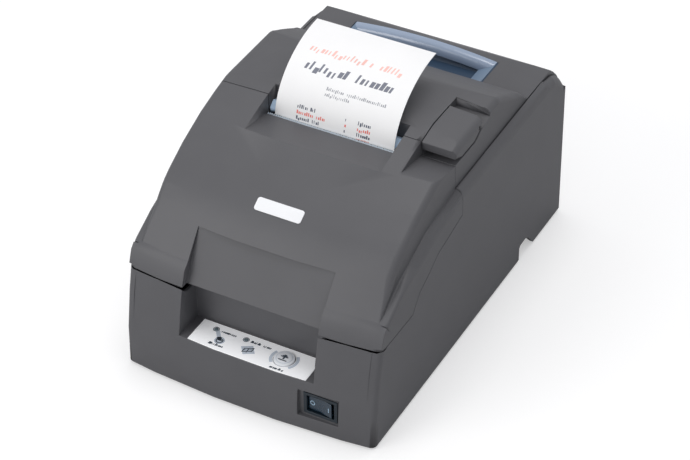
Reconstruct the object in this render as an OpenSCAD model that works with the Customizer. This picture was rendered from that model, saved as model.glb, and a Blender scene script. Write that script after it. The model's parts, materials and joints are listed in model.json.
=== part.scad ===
// Receipt printer: an impact printer for 76 mm roll paper, with an automatic cutter.
// Millimetres. +Z up, the front faces -Y, the origin is under the middle of the base.

/* [Casing] */
// Width of the casing
case_width = 160; // [140:1:180]
// Depth of the casing, from the bowed front to the flat back
case_depth = 248; // [220:1:280]
// Height of the casing's dome above the surface that it stands on
dome_height = 138.5; // [125:0.5:150]
// Radius of the bow of the front, in plan
bow_radius = 680; // [400:10:1200]
// Thickness of the plastic walls
wall = 2.4; // [1.8:0.1:3.2]
// Radius of the casing's front corners
corner_radius = 4; // [2:0.5:6]
// Radius of the rounding along the side ledges
ledge_radius = 6.5; // [3:0.5:8]
// Width of the ledge on each side of the dome
ledge_width = 5; // [3:0.5:8]
// Height of the rubber feet under the base
foot_height = 1.5; // [1:0.1:3]

/* [Covers] */
// How far the front cover swings open, in degrees
front_cover_angle = 80; // [60:1:90]
// Half width of the middle of the front cover, where the paper comes out
middle_half = 43; // [40:0.5:46]
// How far the front cover's middle stands back at its lip
lip_setback = 6.5; // [3:0.5:9]
// Left edge of the opening lever
lever_left = 53.8; // [50:0.1:58]
// Height of the finger gap under the lever's front edge
finger_gap = 4.4; // [4.2:0.1:6]
// Length of the opening lever, front to back
lever_length = 34.5; // [28:0.5:40]
// Width of the smoked window in the roll cover
window_width = 95; // [80:1:110]
// Length of the smoked window, front to back
window_length = 26; // [18:1:32]

/* [Paper] */
// Width of the paper
paper_width = 76; // [57:1:80]
// Diameter of the paper roll
roll_diameter = 80; // [50:1:83]
// Outer diameter of the roll's core
core_diameter = 18; // [12:1:25]
// How far the receipt stands above the exit slot
receipt_rise = 38.5; // [20:0.5:60]
// How far the receipt leans back over the dome
receipt_reach = 51; // [30:1:80]

/* [Mechanism] */
// Travel of the print head to each side
head_travel = 32; // [28:1:34]
// Diameter of the rod that the carriage slides on
carriage_rod = 6; // [4:0.5:8]
// Diameter of the paper feed roller
feed_roller_diameter = 10; // [8:0.5:14]
// Gear module of the feed and ribbon gears
gear_module = 0.8; // [0.6:0.1:1.0]
// Teeth of the feed motor's pinion
pinion_teeth = 12; // [10:1:16]
// Teeth of the feed train's idler gear
idler_teeth = 18; // [14:1:24]
// Teeth of the gear on the feed roller
roller_teeth = 24; // [18:1:30]
// Teeth of the ribbon drive gear
ribbon_teeth = 24; // [18:1:30]
// Stroke of the paper cutter's blade
cutter_stroke = 5; // [4:0.5:6]

/* [Fits] */
// Gap along the seams between the casing parts
seam_gap = 0.5; // [0.3:0.1:1]
// Clearance between parts that move past each other
clearance = 0.4; // [0.3:0.1:0.8]
// Radial running clearance of a shaft in its hole
running_fit = 0.05; // [0.02:0.01:0.1]

/* [Hidden] */
$fn = 48;

plastic = [0.40, 0.40, 0.41];
dark_plastic = [0.16, 0.17, 0.19];
steel = [0.72, 0.73, 0.75];
rubber = [0.10, 0.10, 0.11];
white = [0.94, 0.94, 0.95];
gear_white = [0.90, 0.89, 0.84];
board_green = [0.10, 0.36, 0.22];

half_width = case_width / 2;
half_depth = case_depth / 2;
case_bottom = foot_height;
floor_top = case_bottom + wall;
bow_axis = bow_radius - half_depth;          // y of the vertical axis of the bowed front
bow_turns = [-6.8, -3.4, 0, 3.4, 6.8];       // directions that the flats of the bow face
dome_half = half_width - ledge_width;
crown_radius = 703;                          // arch of the dome, seen from the front
deck_radius = 350;                           // arch of the deck behind the dome
deck_height = 118.6;
arch_flats = 5;
front_end = 22;                              // the bowed front half ends here
fine = 0.01;
big = 200;

// Outlines in (y, z) along the centre line
front_line = [[-124.222, -5], [-123.4, 19], [-121.6, 35], [-118.9, 50], [-115.1, 66],
              [-112, 74.5], [-108, 78.5]];
ledge_line = [[-97.3, 84.6], [-84.9, 91.5], [-56.5, 102], [-37.6, 106.3], [-18.6, 108.6],
              [front_end, 109.4]];
rear_line = [[front_end, 109.4], [80, 110.5], [100, 110.5], [110, 109], [116, 105.8],
             [121, 101.5], [half_depth, 97.5]];
dome_front_line = [[-115.1, 66], [-111.8, 73], [-102.2, 85.5], [-90.5, 100], [-84, 106.3],
                   [-78, 110.5], [-62, 119.2], [-42, 127.2], [-26, 131.6], [-8, 135.5],
                   [12, 138.5], [front_end, dome_height + 0.8]];
dome_rear_line = [[front_end, dome_height + 0.8], [31, dome_height - 0.1], [39, 135.8], [46, 132.6], [53, 129.2],
                  [59.5, 125.8], [66, 122.2], [71.3, 119.2], [76, 114.6], [79.5, 110.5]];
deck_line = [[60, deck_height + 0.6], [97, deck_height + 0.6], [104, 115.8], [110, 112], [116, 107],
             [121, 101.8], [half_depth, 97.5]];
// The front cover's lower edge on the casing's sides
seam_line = [[-130, 65.3], [-74, 64.3], [-65.5, 74.4], [-56, 78.7], [-44, 85.6], [-14, 92.2]];
seam_y = -14;                                // the seam across the top, between the two covers

// Places of the mechanism
paper_y = -26.1;                             // the paper rises in this plane
web_thickness = 0.15;
frame_inner = 60;
frame_thick = 1.5;
base_top = 24;
shaft_pos = [-56, 44];                       // (y, z) of the carriage rod
roller_pos = [paper_y + feed_roller_diameter / 2 + web_thickness + 0.06, 82];
gear_pitch = gear_module / 2;                // pitch radius of one tooth
idler_pos = [roller_pos[0] + (roller_teeth + idler_teeth) * gear_pitch, roller_pos[1]];
motor_pos = [idler_pos[0] + (idler_teeth + pinion_teeth) * gear_pitch, roller_pos[1]];
gear_x = frame_inner + frame_thick + 2;
gear_width = 4.5;
pinch_radius = 4;
pinch_pos = [paper_y - pinch_radius - 0.06, 82];
pulley_x = 52;
pulley_y = -70;
pulley_radius = 5;
belt_thick = 1;
ribbon_gear_pos = [pulley_x - 6, pulley_y - 13.09];
roll_pos = [52, 74];
roll_radius = roll_diameter / 2;
bin_radius = roll_radius + 0.25;
bin_wall = 2;
bin_half = paper_width / 2 + 1.6;
front_hinge = [-106, 68.5];
rear_hinge = [120.3, 96.5];
lever_hinge = [16, 130.4];
pocket_floor = 123.9;                        // floor under the lever
slot_front = -17;                            // front edge of the paper exit
facet_start = -42;                           // the flat before the paper exit starts here
recess_floor = 35;
recess_back = -100;
switch_centre = [47.3, 19.7];
switch_size = [21, 15];
rocker_tilt = 8;
button_pos = [19.1, -110.2];
led_places = [[-27.2, -105.9], [-7.8, -105.9]];
board_z = 12;

module box(x0, x1, y0, y1, z0, z1) translate([x0, y0, z0]) cube([x1 - x0, y1 - y0, z1 - z0]);

module rod_x(x0, x1, pos, r) translate([x0, pos[0], pos[1]]) rotate([0, 90, 0]) cylinder(h = x1 - x0, r = r);

module cone_x(x0, x1, pos, r0, r1) translate([x0, pos[0], pos[1]]) rotate([0, 90, 0])
    cylinder(h = x1 - x0, r1 = r0, r2 = r1);

module rod_y(y0, y1, x, z, r) translate([x, y0, z]) rotate([-90, 0, 0]) cylinder(h = y1 - y0, r = r);

module rod_z(z0, z1, x, y, r) translate([x, y, z0]) cylinder(h = z1 - z0, r = r);

// A (y, z) outline carried from x0 to x1
module side_prism(x0, x1, points) translate([x0, 0, 0]) rotate([90, 0, 90])
    linear_extrude(height = x1 - x0) polygon(points);

// An (x, z) outline carried from y0 to y1
module front_prism(y0, y1, points) translate([0, y1, 0]) rotate([90, 0, 0])
    linear_extrude(height = y1 - y0) polygon(points);

module both_sides() {
    children();
    mirror([1, 0, 0]) children();
}

// A (y, z) outline carried round the bow of the front, as a row of flats
module bowed(points) intersection_for(turn = bow_turns) translate([0, bow_axis, 0])
    rotate([0, 0, turn]) side_prism(-big, big, [for (p = points) p - [bow_axis, 0]]);

// A line's points moved inwards by t; the line runs up the front and over to the back
function unit(v) = v / norm(v);
function inset(line, t) = [for (i = [0 : len(line) - 1])
    let (d = unit(line[min(i + 1, len(line) - 1)] - line[max(i - 1, 0)])) line[i] + t * [d[1], -d[0]]];

// The line closed to an outline, reaching back past where the bowed half ends
function closed_front(line, bottom) = let (end = line[len(line) - 1])
    concat(line, [end + [14, 0], [end[0] + 14, bottom], [line[0][0], bottom]]);

// ---- The casing's outer forms, set inwards by t ----

module case_form(t) intersection() {
    union() {
        bowed(closed_front(inset(concat(front_line, ledge_line), t), -8));
        side_prism(-half_width - 1, half_width + 1, concat(inset(rear_line, t),
            [[half_depth + 3, 97.5 - t], [half_depth + 3, -8], [front_end - 1, -8], [front_end - 1, 109.3 - t]]));
    }
    box(-half_width + t, half_width - t, -half_depth - 1, half_depth - t, case_bottom + t, big);
}

module dome_form(t) intersection() {
    union() {
        bowed(closed_front(inset(dome_front_line, t), 60));
        side_prism(-half_width, half_width, concat(inset(dome_rear_line, t),
            [[79.5 - t, 60], [front_end - 1, 60], [front_end - 1, dome_height + 0.7 - t]]));
        intersection() {
            side_prism(-half_width - 1, half_width + 1, concat(inset(deck_line, t), [[half_depth + 3, 97.5 - t], [half_depth + 3, 61], [60, 61]]));
            arch(deck_height - t, deck_radius);
        }
    }
    box(-dome_half + t, dome_half - t, -half_depth, half_depth - t, 62, big);
    arch(dome_height - t, crown_radius);
}

// The arch of the top, seen from the front, as a row of flats
module arch(top, radius) front_prism(-half_depth - 1, half_depth + 1, concat(
    [for (k = [-arch_flats : arch_flats]) [k * 90 / arch_flats, top - pow(k * 90 / arch_flats, 2) / (2 * radius)]],
    [[90, 0], [-90, 0]]));

// Rounds the casing's edge in the plane of its sides, in flats, along a line of (y, z) points
rounding_line = [[-1.3, 0.155], [-0.62, -0.02], [-0.29, -0.21], [-0.08, -0.5], [0, -1]];

module side_rounding(line, r) both_sides() for (i = [0 : len(line) - 2])
    let (a = line[i], b = line[i + 1], length = norm(b - a), slope = atan2(b[1] - a[1], b[0] - a[0]))
    translate([half_width, a[0], a[1]]) rotate([slope, 0, 0])
    front_prism(-0.5, length + 0.5, concat(rounding_line * r, [[2, -r], [2, 12], [-1.3 * r, 12]]));

module rounded_case_form() difference() {
    case_form(0);
    side_rounding([[-119.4, case_bottom], [-118.4, 25], [-114.1, 50], [-110.3, 66]], corner_radius);
    side_rounding([[-104, 78.5], [-80.2, 91.5], [-51.6, 102.1], [-13, 108.7]], ledge_radius);
    side_rounding([[-13, 108.8], [80, 110.5], [101, 110.5]], ledge_radius);
}

// ---- Casing ----

module lower_case() color(plastic) difference() {
    union() {
        difference() {
            rounded_case_form();
            case_hollow();
            side_prism(-big, big, concat([for (p = seam_line) p + [0.2, -seam_gap]], [[-13.8, 150], [-130, 150]]));
            side_prism(-dome_half - 0.3, dome_half + 0.3,
                [[seam_y - 1, 80], [seam_y - 1, 150], [130, 150], [130, 92], [110, 92], [105, 80]]);
        }
        intersection() {
            rounded_case_form();
            union() {
                recess_walls();
                both_sides() hinge_cheek();
                box(32, 60.2, -half_depth, -118, 9, 29.8);
            }
        }
        cable_bay_walls();
        both_sides() front_hinge_lug();
        both_sides() bin_shelf();
        mechanism_posts();
        board_posts();
    }
    recess_hollow();
    front_swing_relief();
    switch_opening();
    cable_notch();
    rear_openings();
    both_sides() rod_x(dome_half - 3, dome_half + 3, rear_hinge, 1.5 + running_fit);
    both_sides() rod_x(64, 70, front_hinge, 1.25);
    for (p = screw_places) {
        rod_z(0, 60, p[0], p[1], 1.6);
        rod_z(0, case_bottom + 1.2, p[0], p[1], 3.2);
    }
    vent_slots();
}

module case_hollow() difference() {
    case_form(wall);
    both_sides() box(dome_half + 0.3, half_width, seam_y, 112, 104.6, big);
}

screw_places = [[-70, -80], [70, -80], [-70, 108], [70, 108]];

module recess_walls() {
    box(-middle_half - wall, middle_half + wall, -half_depth, recess_back + wall, recess_floor - wall, recess_floor);
    box(-middle_half - wall, middle_half + wall, recess_back, recess_back + wall, recess_floor - wall, 62.3);
    both_sides() box(middle_half, middle_half + wall, -half_depth, recess_back + wall, recess_floor - wall, 64.8);
}

module recess_hollow() {
    box(-middle_half, middle_half, -half_depth - 5, recess_back, recess_floor, 80);
    rod_z(recess_floor - 5, recess_floor + 5, button_pos[0], button_pos[1], 6.5);
    for (p = led_places) rod_z(recess_floor - 5, recess_floor + 5, p[0], p[1], 1.6);
}

// Room for the front cover's lower edge, which dips behind the seam as the cover swings
module front_swing_relief() both_sides() {
    cone_x(middle_half - fine, half_width - 2.7, front_hinge, 9.4, 6.8);
    cone_x(half_width - 2.7 - fine, half_width + 0.5, front_hinge, 6.8, 4.35);
}

module front_hinge_lug() {
    rod_x(66, 69, front_hinge, 2.2);
    side_prism(66, 69, [front_hinge + [-1.3, -1.75], front_hinge + [1.3, 1.75], [-88, 59.5], [-88, 2], [-94, 2], [-94, 56.9]]);
}

module hinge_cheek() box(dome_half + 0.3, half_width - 1, 110, half_depth - 1, 84, 112);

module bin_shelf() {
    box(dome_half - 3, half_width - 1, 30, 34, 60, 93.8);
    box(dome_half - 3, half_width - 1, 92, 96, 60, 93.8);
}

mechanism_places = [[-22, -76], [22, -76], [-52, -14], [52, -14]];

module mechanism_posts() for (p = mechanism_places) difference() {
    rod_z(2, base_top - frame_thick, p[0], p[1], 4.5);
    rod_z(8, 30, p[0], p[1], 1.3);
}

board_places = [[-60, 4], [60, 4], [-60, 56], [60, 110]];

module board_posts() {
    for (p = screw_places) rod_z(2, 12, p[0], p[1], 3.5);
    for (p = board_places) rod_z(2, board_z, p[0], p[1], 3.5);
    for (p = [[-58, 76], [-14, 76], [-58, 112], [-14, 112]]) rod_z(2, card_z, p[0], p[1], 3);
}

module switch_opening() {
    front_prism(-half_depth - 2, -111, [for (s = [[-1, -1], [1, -1], [1, 1], [-1, 1]])
        [switch_centre[0] + s[0] * (switch_size[0] / 2 - 1), switch_centre[1] + s[1] * (switch_size[1] / 2 - 0.8)]]);
    box(33.6, 58.6, -half_depth - 2, -119.8, 10.5, 28.2);
}

module cable_notch() {
    side_prism(half_width - 12, half_width + 1,
        [[66, -1], [66, 10.5], [67.5, 12], [75, 12], [78.5, 10], [82, 5.8], [87, 0.5], [87, -1]]);
    box(half_width - 14, half_width - wall, 66, 88, -1, 12);
}

module cable_bay_walls() {
    box(half_width - 16, half_width - 1, 64, 90, 2, 14);
}

card_z = 30;
card_plate = [-62, -6, 24, 46];
inlet_place = [20, 21];
jack_place = [44, 20.2];

module rear_openings() {
    box(card_plate[0], card_plate[1], half_depth - 1.2, half_depth + 1, card_plate[2], card_plate[3]);
    box(card_plate[0] + 3, card_plate[1] - 3, half_depth - wall - 1, half_depth + 1, card_plate[2] + 3, card_plate[3] - 3);
    rod_y(half_depth - wall - 1, half_depth + 1, inlet_place[0], inlet_place[1], 7);
    box(jack_place[0] - 6.8, jack_place[0] + 6.8, half_depth - wall - 1, half_depth + 1,
        jack_place[1] - 6.8, jack_place[1] + 6.8);
}

module vent_slots() for (i = [0 : 6]) box(-30 + 8 * i, -27.6 + 8 * i, half_depth - wall - 1, half_depth + 1, 58, 74);

module rear_hinge_pins() color(steel) both_sides() rod_x(dome_half - 4, dome_half + 2.6, rear_hinge, 1.5);

module front_hinge_pins() color(steel) both_sides() rod_x(65, 74.2, front_hinge, 1.25);

// ---- Front cover ----

module front_cover() color(plastic) difference() {
    union() {
        difference() {
            cover_blank();
            intersection() {
                union() {
                    case_form(wall);
                    dome_form(wall);
                }
                translate([0, 0, -fine]) box(-big, big, -big, seam_y + 5, 60, big);
                middle_limits();
            }
        }
        intersection() {
            cover_blank();
            middle_walls();
        }
        both_sides() front_hinge_ear();
    }
    both_sides() rod_x(69.4, 76, front_hinge, 1.25 + running_fit);
    middle_cut();
    finger_cut();
}

module cover_blank() intersection() {
    union() {
        rounded_case_form();
        dome_form(0);
    }
    side_prism(-big, big, concat(seam_line, [[seam_y, 150], [-130, 150]]));
}

// What the hollow keeps clear of, so that the set-back middle keeps its wall
module middle_limits() difference() {
    box(-big, big, -big, big, 0, big);
    side_prism(-middle_half - wall, middle_half + wall,
        [[-130, 60], [-106.3, 60], [-106.3, 64.8], [-92.5 + wall, 94], [-92.5, 94.3], [-130, 94.3]]);
    side_prism(-middle_half - wall, middle_half + wall,
        [[facet_start - 8, 124.8], [facet_start, 127.2 - wall], [slot_front, 122.4 - wall], [0, 119], [0, 150], [facet_start - 8, 150]]);
    side_prism(lever_left - wall, big,
        [[facet_start + 1, 128.4 - wall], [-10, pocket_floor - 0.5 - wall], [-10, 150], [facet_start + 1, 150]]);
}

module middle_walls() {
    both_sides() side_prism(middle_half, middle_half + wall, [[facet_start, 124], [slot_front - 8, 119.5], [seam_y, 119.5], [seam_y, 150], [facet_start, 150]]);
}

// The set-back lip above the control panel, and the flat with the paper exit
module middle_cut() {
    intersection() {
        side_prism(-middle_half, middle_half, [[-135, 60], [-108.9, 60], [-108.9, 64.8], [-93, 94.3], [-135, 94.3]]);
    }
    side_prism(-middle_half, middle_half,
        [[facet_start, 127.2], [slot_front, 122.4], [slot_front, 90], [seam_y + 1, 90], [seam_y + 1, 150], [facet_start, 150]]);
}

// The finger room in front of the lever
module finger_cut() side_prism(lever_left, big,
    [[facet_start + 1, 128.4], [seam_y, pocket_floor], [seam_y + 1, pocket_floor], [seam_y + 1, 150], [facet_start + 1, 150]]);

module front_hinge_ear() {
    rod_x(69.4, 73.6, front_hinge, 2.8);
    side_prism(69.4, 73.6, [front_hinge + [0, 2.8], front_hinge + [0, -2.8], [-109.5, 66.2], [-109, 71.3]]);
}

// ---- Roll cover ----

module roll_cover() color(plastic) difference() {
    union() {
        difference() {
            roll_cover_blank();
            roll_cover_hollow();
        }
        tear_bar_shelf();
        lever_ears();
        both_sides() rear_knuckle();
    }
    middle_notch();
    lever_pocket();
    window_opening();
    rod_x(55, 75 - wall, lever_hinge, 1.2);
    both_sides() rod_x(dome_half - 8, dome_half + 1, rear_hinge, 1.5);
}

module roll_cover_blank() intersection() {
    dome_form(0);
    side_prism(-dome_half + 0.1, dome_half - 0.1,
        [[seam_y + seam_gap, 99], [seam_y + seam_gap, 150], [130, 150], [130, rear_hinge[1]], [118, rear_hinge[1]], [112, 99]]);
}

module roll_cover_hollow() difference() {
    dome_form(wall);
    side_prism(-middle_half - 3, middle_half + 3, [[seam_y, 60], [-3.5, 60], [-3.5, 200], [seam_y, 200]]);
    side_prism(lever_left - 2, dome_half, [[seam_y, pocket_floor - wall], [18, pocket_floor - wall], [31, 126], [31, 150], [seam_y, 150]]);
    side_prism(-window_width / 2 - wall, window_width / 2 + wall, [[66, 113], [72.4, 110.4], [80, 108], [102, 108], [102, 130], [66, 130]]);
}

module middle_notch() {
    side_prism(-middle_half, middle_half, [[seam_y - 1, 120], [-5.5, 120], [-5.5, 150], [seam_y - 1, 150]]);
    side_prism(-middle_half - 4, middle_half + 4, [[seam_y - 1, 60], [-6, 60], [-6, 117], [seam_y - 1, 117]]);
}

module tear_bar_shelf() box(-middle_half - 0.5, middle_half + 0.5, seam_y + seam_gap, -3, 117, 120);

module lever_pocket() side_prism(lever_left, dome_half + 1,
    [[seam_y - 1, pocket_floor], [12, pocket_floor], [19, 127.5], [29, 130.5], [29, 150], [seam_y - 1, 150]]);

module lever_ears() for (x = [56.2, 69.6]) {
    rod_x(x, x + 2.4, lever_hinge, 2.3);
    side_prism(x, x + 2.4, [[12, pocket_floor - 2], [lever_hinge[0] - 2.3, lever_hinge[1]], [lever_hinge[0] + 2.3, lever_hinge[1]], [21, 127]]);
}

module rear_knuckle() {
    rod_x(dome_half - 12, dome_half - 0.1, rear_hinge, 3.2);
    side_prism(dome_half - 12, dome_half - 0.1, [[rear_hinge[0] - 2.8, rear_hinge[1]], [half_depth - wall / 2, rear_hinge[1]],
        [half_depth - wall / 2, 99], [118, 104]]);
}

module window_opening() side_prism(-window_width / 2, window_width / 2,
    [[72.5, 104], [72.5 + window_length, 104], [72.5 + window_length, 130], [72.5, 130]]);

module roll_window() color(dark_plastic) difference() {
    intersection() {
        dome_form(0.3);
        side_prism(-window_width / 2 + fine, window_width / 2 - fine,
            [[72.5 + fine, 109.2], [79, 107.2], [92.6, 107.2], [72.5 + window_length - fine, 110], [72.5 + window_length - fine, 130], [72.5 + fine, 130]]);
    }
    side_prism(-window_width / 2 + 1.6, window_width / 2 - 1.6,
        [[73.9, 110.6], [79, 108.8], [92, 108.8], [94, 110.5], [95.6, 113.4], [96, 130], [73.9, 130]]);
}

module tear_bar() color(steel) difference() {
    side_prism(-middle_half + 0.4, middle_half - 0.4, [[-13.2, 120], [-6, 120], [-6, 125.8], [-9.5, 127.4], [-13.2, 124.6]]);
    for (i = [0 : 40]) translate([-40 + 2 * i, -13.2, 119]) linear_extrude(height = 12)
        polygon([[-0.6, -1], [0.6, -1], [0.1, 0.8], [-0.1, 0.8]]);
}

// ---- Opening lever ----

module cover_lever() color(plastic) difference() {
    union() {
        difference() {
            lever_blank();
            lever_underside();
        }
        rod_x(59.2, 69.2, lever_hinge, lever_barrel);
        side_prism(59.2, 69.2, [lever_hinge + [-lever_barrel, 0], lever_hinge + [lever_barrel, 0], lever_hinge + [3, 4], lever_hinge + [-3, 4]]);
    }
    rod_x(50, 80, lever_hinge, 1.2 + running_fit);
    for (x = [62.4 : 0.8 : 66.4]) translate([x, lever_hinge[0], lever_hinge[1]]) rotate([0, 90, 0])
        rotate_extrude() translate([lever_barrel + 0.05, 0]) circle(r = 0.35, $fn = 16);
}

lever_barrel = 2.5;
lever_plate = 133.3;                         // underside of the lever's plate, over its pin

module lever_blank() intersection() {
    dome_form(0);
    side_prism(lever_left + 0.35, dome_half + 0.5,
        [[seam_y, pocket_floor + finger_gap], [-6, 125.2], [10, 125.2], [15, 128.6], [seam_y + lever_length, 131.6],
        [seam_y + lever_length, 150], [seam_y, 150]]);
}

module lever_underside() side_prism(lever_left - 1, dome_half - 2.2,
    [[seam_y - 1, 120], [seam_y - 1, pocket_floor + finger_gap], [seam_y + 2.6, pocket_floor + finger_gap],
    [seam_y + 5, 131.6], [8, lever_plate], [30, lever_plate + 0.6], [30, 120]]);

module lever_pin() color(steel) rod_x(56.2, 72, lever_hinge, 1.2);

// ---- Small parts on the outside ----

badge_centre = [-77.9, 110.4];
badge_slope = 31.5;

module badge() color(white) intersection() {
    translate([0, badge_centre[0], badge_centre[1]]) rotate([badge_slope, 0, 0]) union() {
        box(-12.6, 12.6, -3.9, 3.9, -2, 1.6);
        both_sides() rod_z(-2, 1.6, 12.6, 0, 2);
        both_sides() box(12, 14.5, -2, 2, -2, 1.6);
    }
    difference() {
        translate([0, 0, 0.5]) dome_form(0);
        dome_form(0);
    }
}

module panel_overlay() color(white) difference() {
    intersection() {
        case_form(0.5);
        box(-37.6, 38, -half_depth, -101.2, recess_floor, recess_floor + 0.4);
    }
    rod_z(30, 40, button_pos[0], button_pos[1], 6.5);
}

module status_leds() color([0.2, 0.75, 0.3]) for (p = led_places) {
    rod_z(29.6, recess_floor, p[0], p[1], 1.5);
    rod_z(29.6, 31, p[0], p[1], 2);
}

module panel_board() color(board_green) {
    box(-36, 36, -117.6, -100.5, 28, 29.6);
    box(button_pos[0] - 3, button_pos[0] + 3, button_pos[1] - 3, button_pos[1] + 3, 29.6, 30.4);
    both_sides() rod_z(29.6, recess_floor - wall, 33, -103.5, 2);
}

module feed_button() color([0.86, 0.88, 0.92]) {
    rod_z(31.5, recess_floor + 1.4, button_pos[0], button_pos[1], 6.5 - clearance);
    rod_z(31.5, recess_floor - wall - 0.3, button_pos[0], button_pos[1], 7.4);
}

module switch_body() color(dark_plastic) difference() {
    union() {
        switch_block(switch_size[0] / 2, switch_size[1] / 2, -120.8, -119.8);
        switch_block(9.4, 6.5, -119.8, -104);
        for (x = [-5, 0, 5]) translate([x, 0, 0]) switch_block(0.4, 2, -104, -97);
    }
    switch_block(8.5, 5.7, -122, -110);
    rod_z(0, 40, switch_centre[0], rocker_y, 1 + running_fit);
}

module switch_block(half_x, half_z, y0, y1) translate([switch_centre[0], 0, switch_centre[1]])
    box(-half_x, half_x, y0, y1, -half_z, half_z);

rocker_y = -116.5;

module power_rocker() color([0.13, 0.19, 0.25]) translate([switch_centre[0], rocker_y, switch_centre[1]]) {
    rotate([0, 0, -rocker_tilt]) translate([0, 0, -5]) linear_extrude(height = 10)
        polygon([[-7.7, -3.6], [0, -2.9], [7.7, -3.6], [6, 1.2], [-6, 1.2]]);
    translate([0, 0, -6.4]) cylinder(h = 12.8, r = 1);
}

module rubber_feet() color(rubber) for (x = [-62, 62], y = [-100, 100]) rod_z(0, case_bottom, x, y, 6);

module case_screws() color(steel) for (p = screw_places) {
    rod_z(case_bottom + 0.1, case_bottom + 1.2, p[0], p[1], 2.8);
    rod_z(case_bottom + 1.2, 12, p[0], p[1], 1.5);
}

// ---- Print mechanism ----

frame_outline = [[-94, base_top - frame_thick], [24, base_top - frame_thick], [24, 97.5], [-8, 97.5], [-8, 93], [-62, 93],
                 [-70, 70], [-94, 52.6]];

module frame_side() difference() {
    side_prism(frame_inner, frame_inner + frame_thick, frame_outline);
    rod_x(50, 70, shaft_pos, carriage_rod / 2);
    rod_x(50, 70, roller_pos, 2.5 + running_fit);
    rod_x(50, 70, pinch_pos, 1.5);
}

module frame_right() color(steel) difference() {
    frame_side();
    rod_x(50, 70, idler_pos, 1.5);
    rod_x(50, 70, motor_pos, 3);
}

module frame_left() color(steel) mirror([1, 0, 0]) frame_side();

module frame_base() color(steel) difference() {
    union() {
        box(-frame_inner, frame_inner, -94, 24, base_top - frame_thick, base_top);
        rod_z(base_top, 44.5, ribbon_gear_pos[0], ribbon_gear_pos[1], 3);
        rod_z(base_top, 25.7, pulley_x, pulley_y, 4);
    }
    for (p = mechanism_places) rod_z(20, 30, p[0], p[1], 1.6);
    rod_z(20, 30, -pulley_x, pulley_y, 4.5);
    rod_z(20, 60, ribbon_gear_pos[0], ribbon_gear_pos[1], 1.5 + running_fit);
    rod_z(20, 60, pulley_x, pulley_y, 1.5);
    box(-44, 44, -54, -34, 10, 40);
}

module platen() color(steel) {
    box(-42, 42, -25.8, -21, 52, 73);
    box(-frame_inner, frame_inner, -25.8, -21, 60, 68);
}

module carriage_shaft() color(steel) rod_x(-frame_inner - frame_thick, frame_inner + frame_thick, shaft_pos, carriage_rod / 2);

module guide_rail() color(steel) {
    box(-frame_inner, frame_inner, -80, -77, 36, 37.5);
    both_sides() box(frame_inner - 4, frame_inner, -80, -78.6, base_top, 36);
}

module carriage() color(dark_plastic) difference() {
    union() {
        box(-12, 12, -67.5, -45, 34, 52);
        box(-6, 6, -79.5, -67, 37.8, 41);
        box(-12, 12, -68, -60, 27, 36);
        box(-9, 9, -66, -48, 51, 53);
    }
    rod_x(-20, 20, shaft_pos, carriage_rod / 2 + running_fit);
    box(-20, 20, pulley_y + pulley_radius - 0.3, pulley_y + pulley_radius + belt_thick + 0.4, 26, 32);
}

module print_head() color([0.25, 0.26, 0.28]) {
    rod_y(-66, -48, 0, 63.2, 9.5);
    for (i = [0 : 5]) rod_y(-65.5 + 3 * i, -64.3 + 3 * i, 0, 63.2, 10.2);
    box(-3.5, 3.5, -48.5, -27.9, 57.5, 69);
    box(-7, 7, -60, -50, 53, 56);
}

module timing_belt() color(rubber) difference() {
    belt_loop(pulley_radius + belt_thick, 0);
    belt_loop(pulley_radius + 0.05, 1);
}

module belt_loop(r, over) {
    both_sides() rod_z(27.2 - over, 31.6 + over, pulley_x, pulley_y, r);
    box(-pulley_x, pulley_x, pulley_y - r, pulley_y + r, 27.2 - over, 31.6 + over);
}

module pulley() difference() {
    union() {
        rod_z(26.9, 32, 0, 0, pulley_radius);
        rod_z(26, 27, 0, 0, pulley_radius + 1);
        rod_z(31.8, 32.6, 0, 0, pulley_radius + 1);
    }
}

module drive_pulley() color(gear_white) translate([-pulley_x, pulley_y, 0]) difference() {
    pulley();
    rod_z(20, 40, 0, 0, 1.5);
}

module idler_pulley() color(gear_white) translate([pulley_x, pulley_y, 0]) {
    pulley();
    rod_z(32, 44.4, 0, 0, 2.5);
    rod_z(base_top - 1, 27, 0, 0, 1.5 - running_fit);
    translate([0, 0, 44.4]) toothed_wheel(pinion_teeth, 4, 0);
}

module carriage_motor() color(dark_plastic) {
    rod_z(6.5, base_top - frame_thick, -pulley_x + 2, pulley_y, 14);
    rod_z(20, base_top, -pulley_x, pulley_y, 4.4);
    rod_z(20, 32, -pulley_x, pulley_y, 1.5 - fine);
}

// A spur gear with straight-sided teeth; turn is in teeth
module toothed_wheel(teeth, height, turn) {
    root = teeth * gear_pitch - 1.15 * gear_module;
    tip = teeth * gear_pitch + 0.75 * gear_module;
    linear_extrude(height = height) union() {
        circle(r = root);
        for (i = [0 : teeth - 1]) rotate(360 * (i + turn) / teeth) polygon([
            [root - 0.4, -0.86 * gear_module], [tip, -0.34 * gear_module], [tip, 0.34 * gear_module], [root - 0.4, 0.86 * gear_module]]);
    }
}

// A gear on an axle along X; the tooth at turn 0 points to +Y
module gear_along_x(pos, teeth, turn) translate([gear_x, pos[0], pos[1]]) rotate([90, 0, 90]) toothed_wheel(teeth, gear_width, turn);

module feed_gear() color(gear_white) difference() {
    gear_along_x(roller_pos, roller_teeth, 0);
    rod_x(50, 80, roller_pos, 2.5);
}

module idler_gear() color(gear_white) {
    gear_along_x(idler_pos, idler_teeth, 0.5 + idler_teeth / 2);
    rod_x(gear_x - 1.7, gear_x, idler_pos, 3);
    rod_x(frame_inner, gear_x, idler_pos, 1.5 - running_fit);
}

module motor_pinion() color(steel) difference() {
    gear_along_x(motor_pos, pinion_teeth, 0);
    rod_x(50, 80, motor_pos, 1);
}

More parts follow.
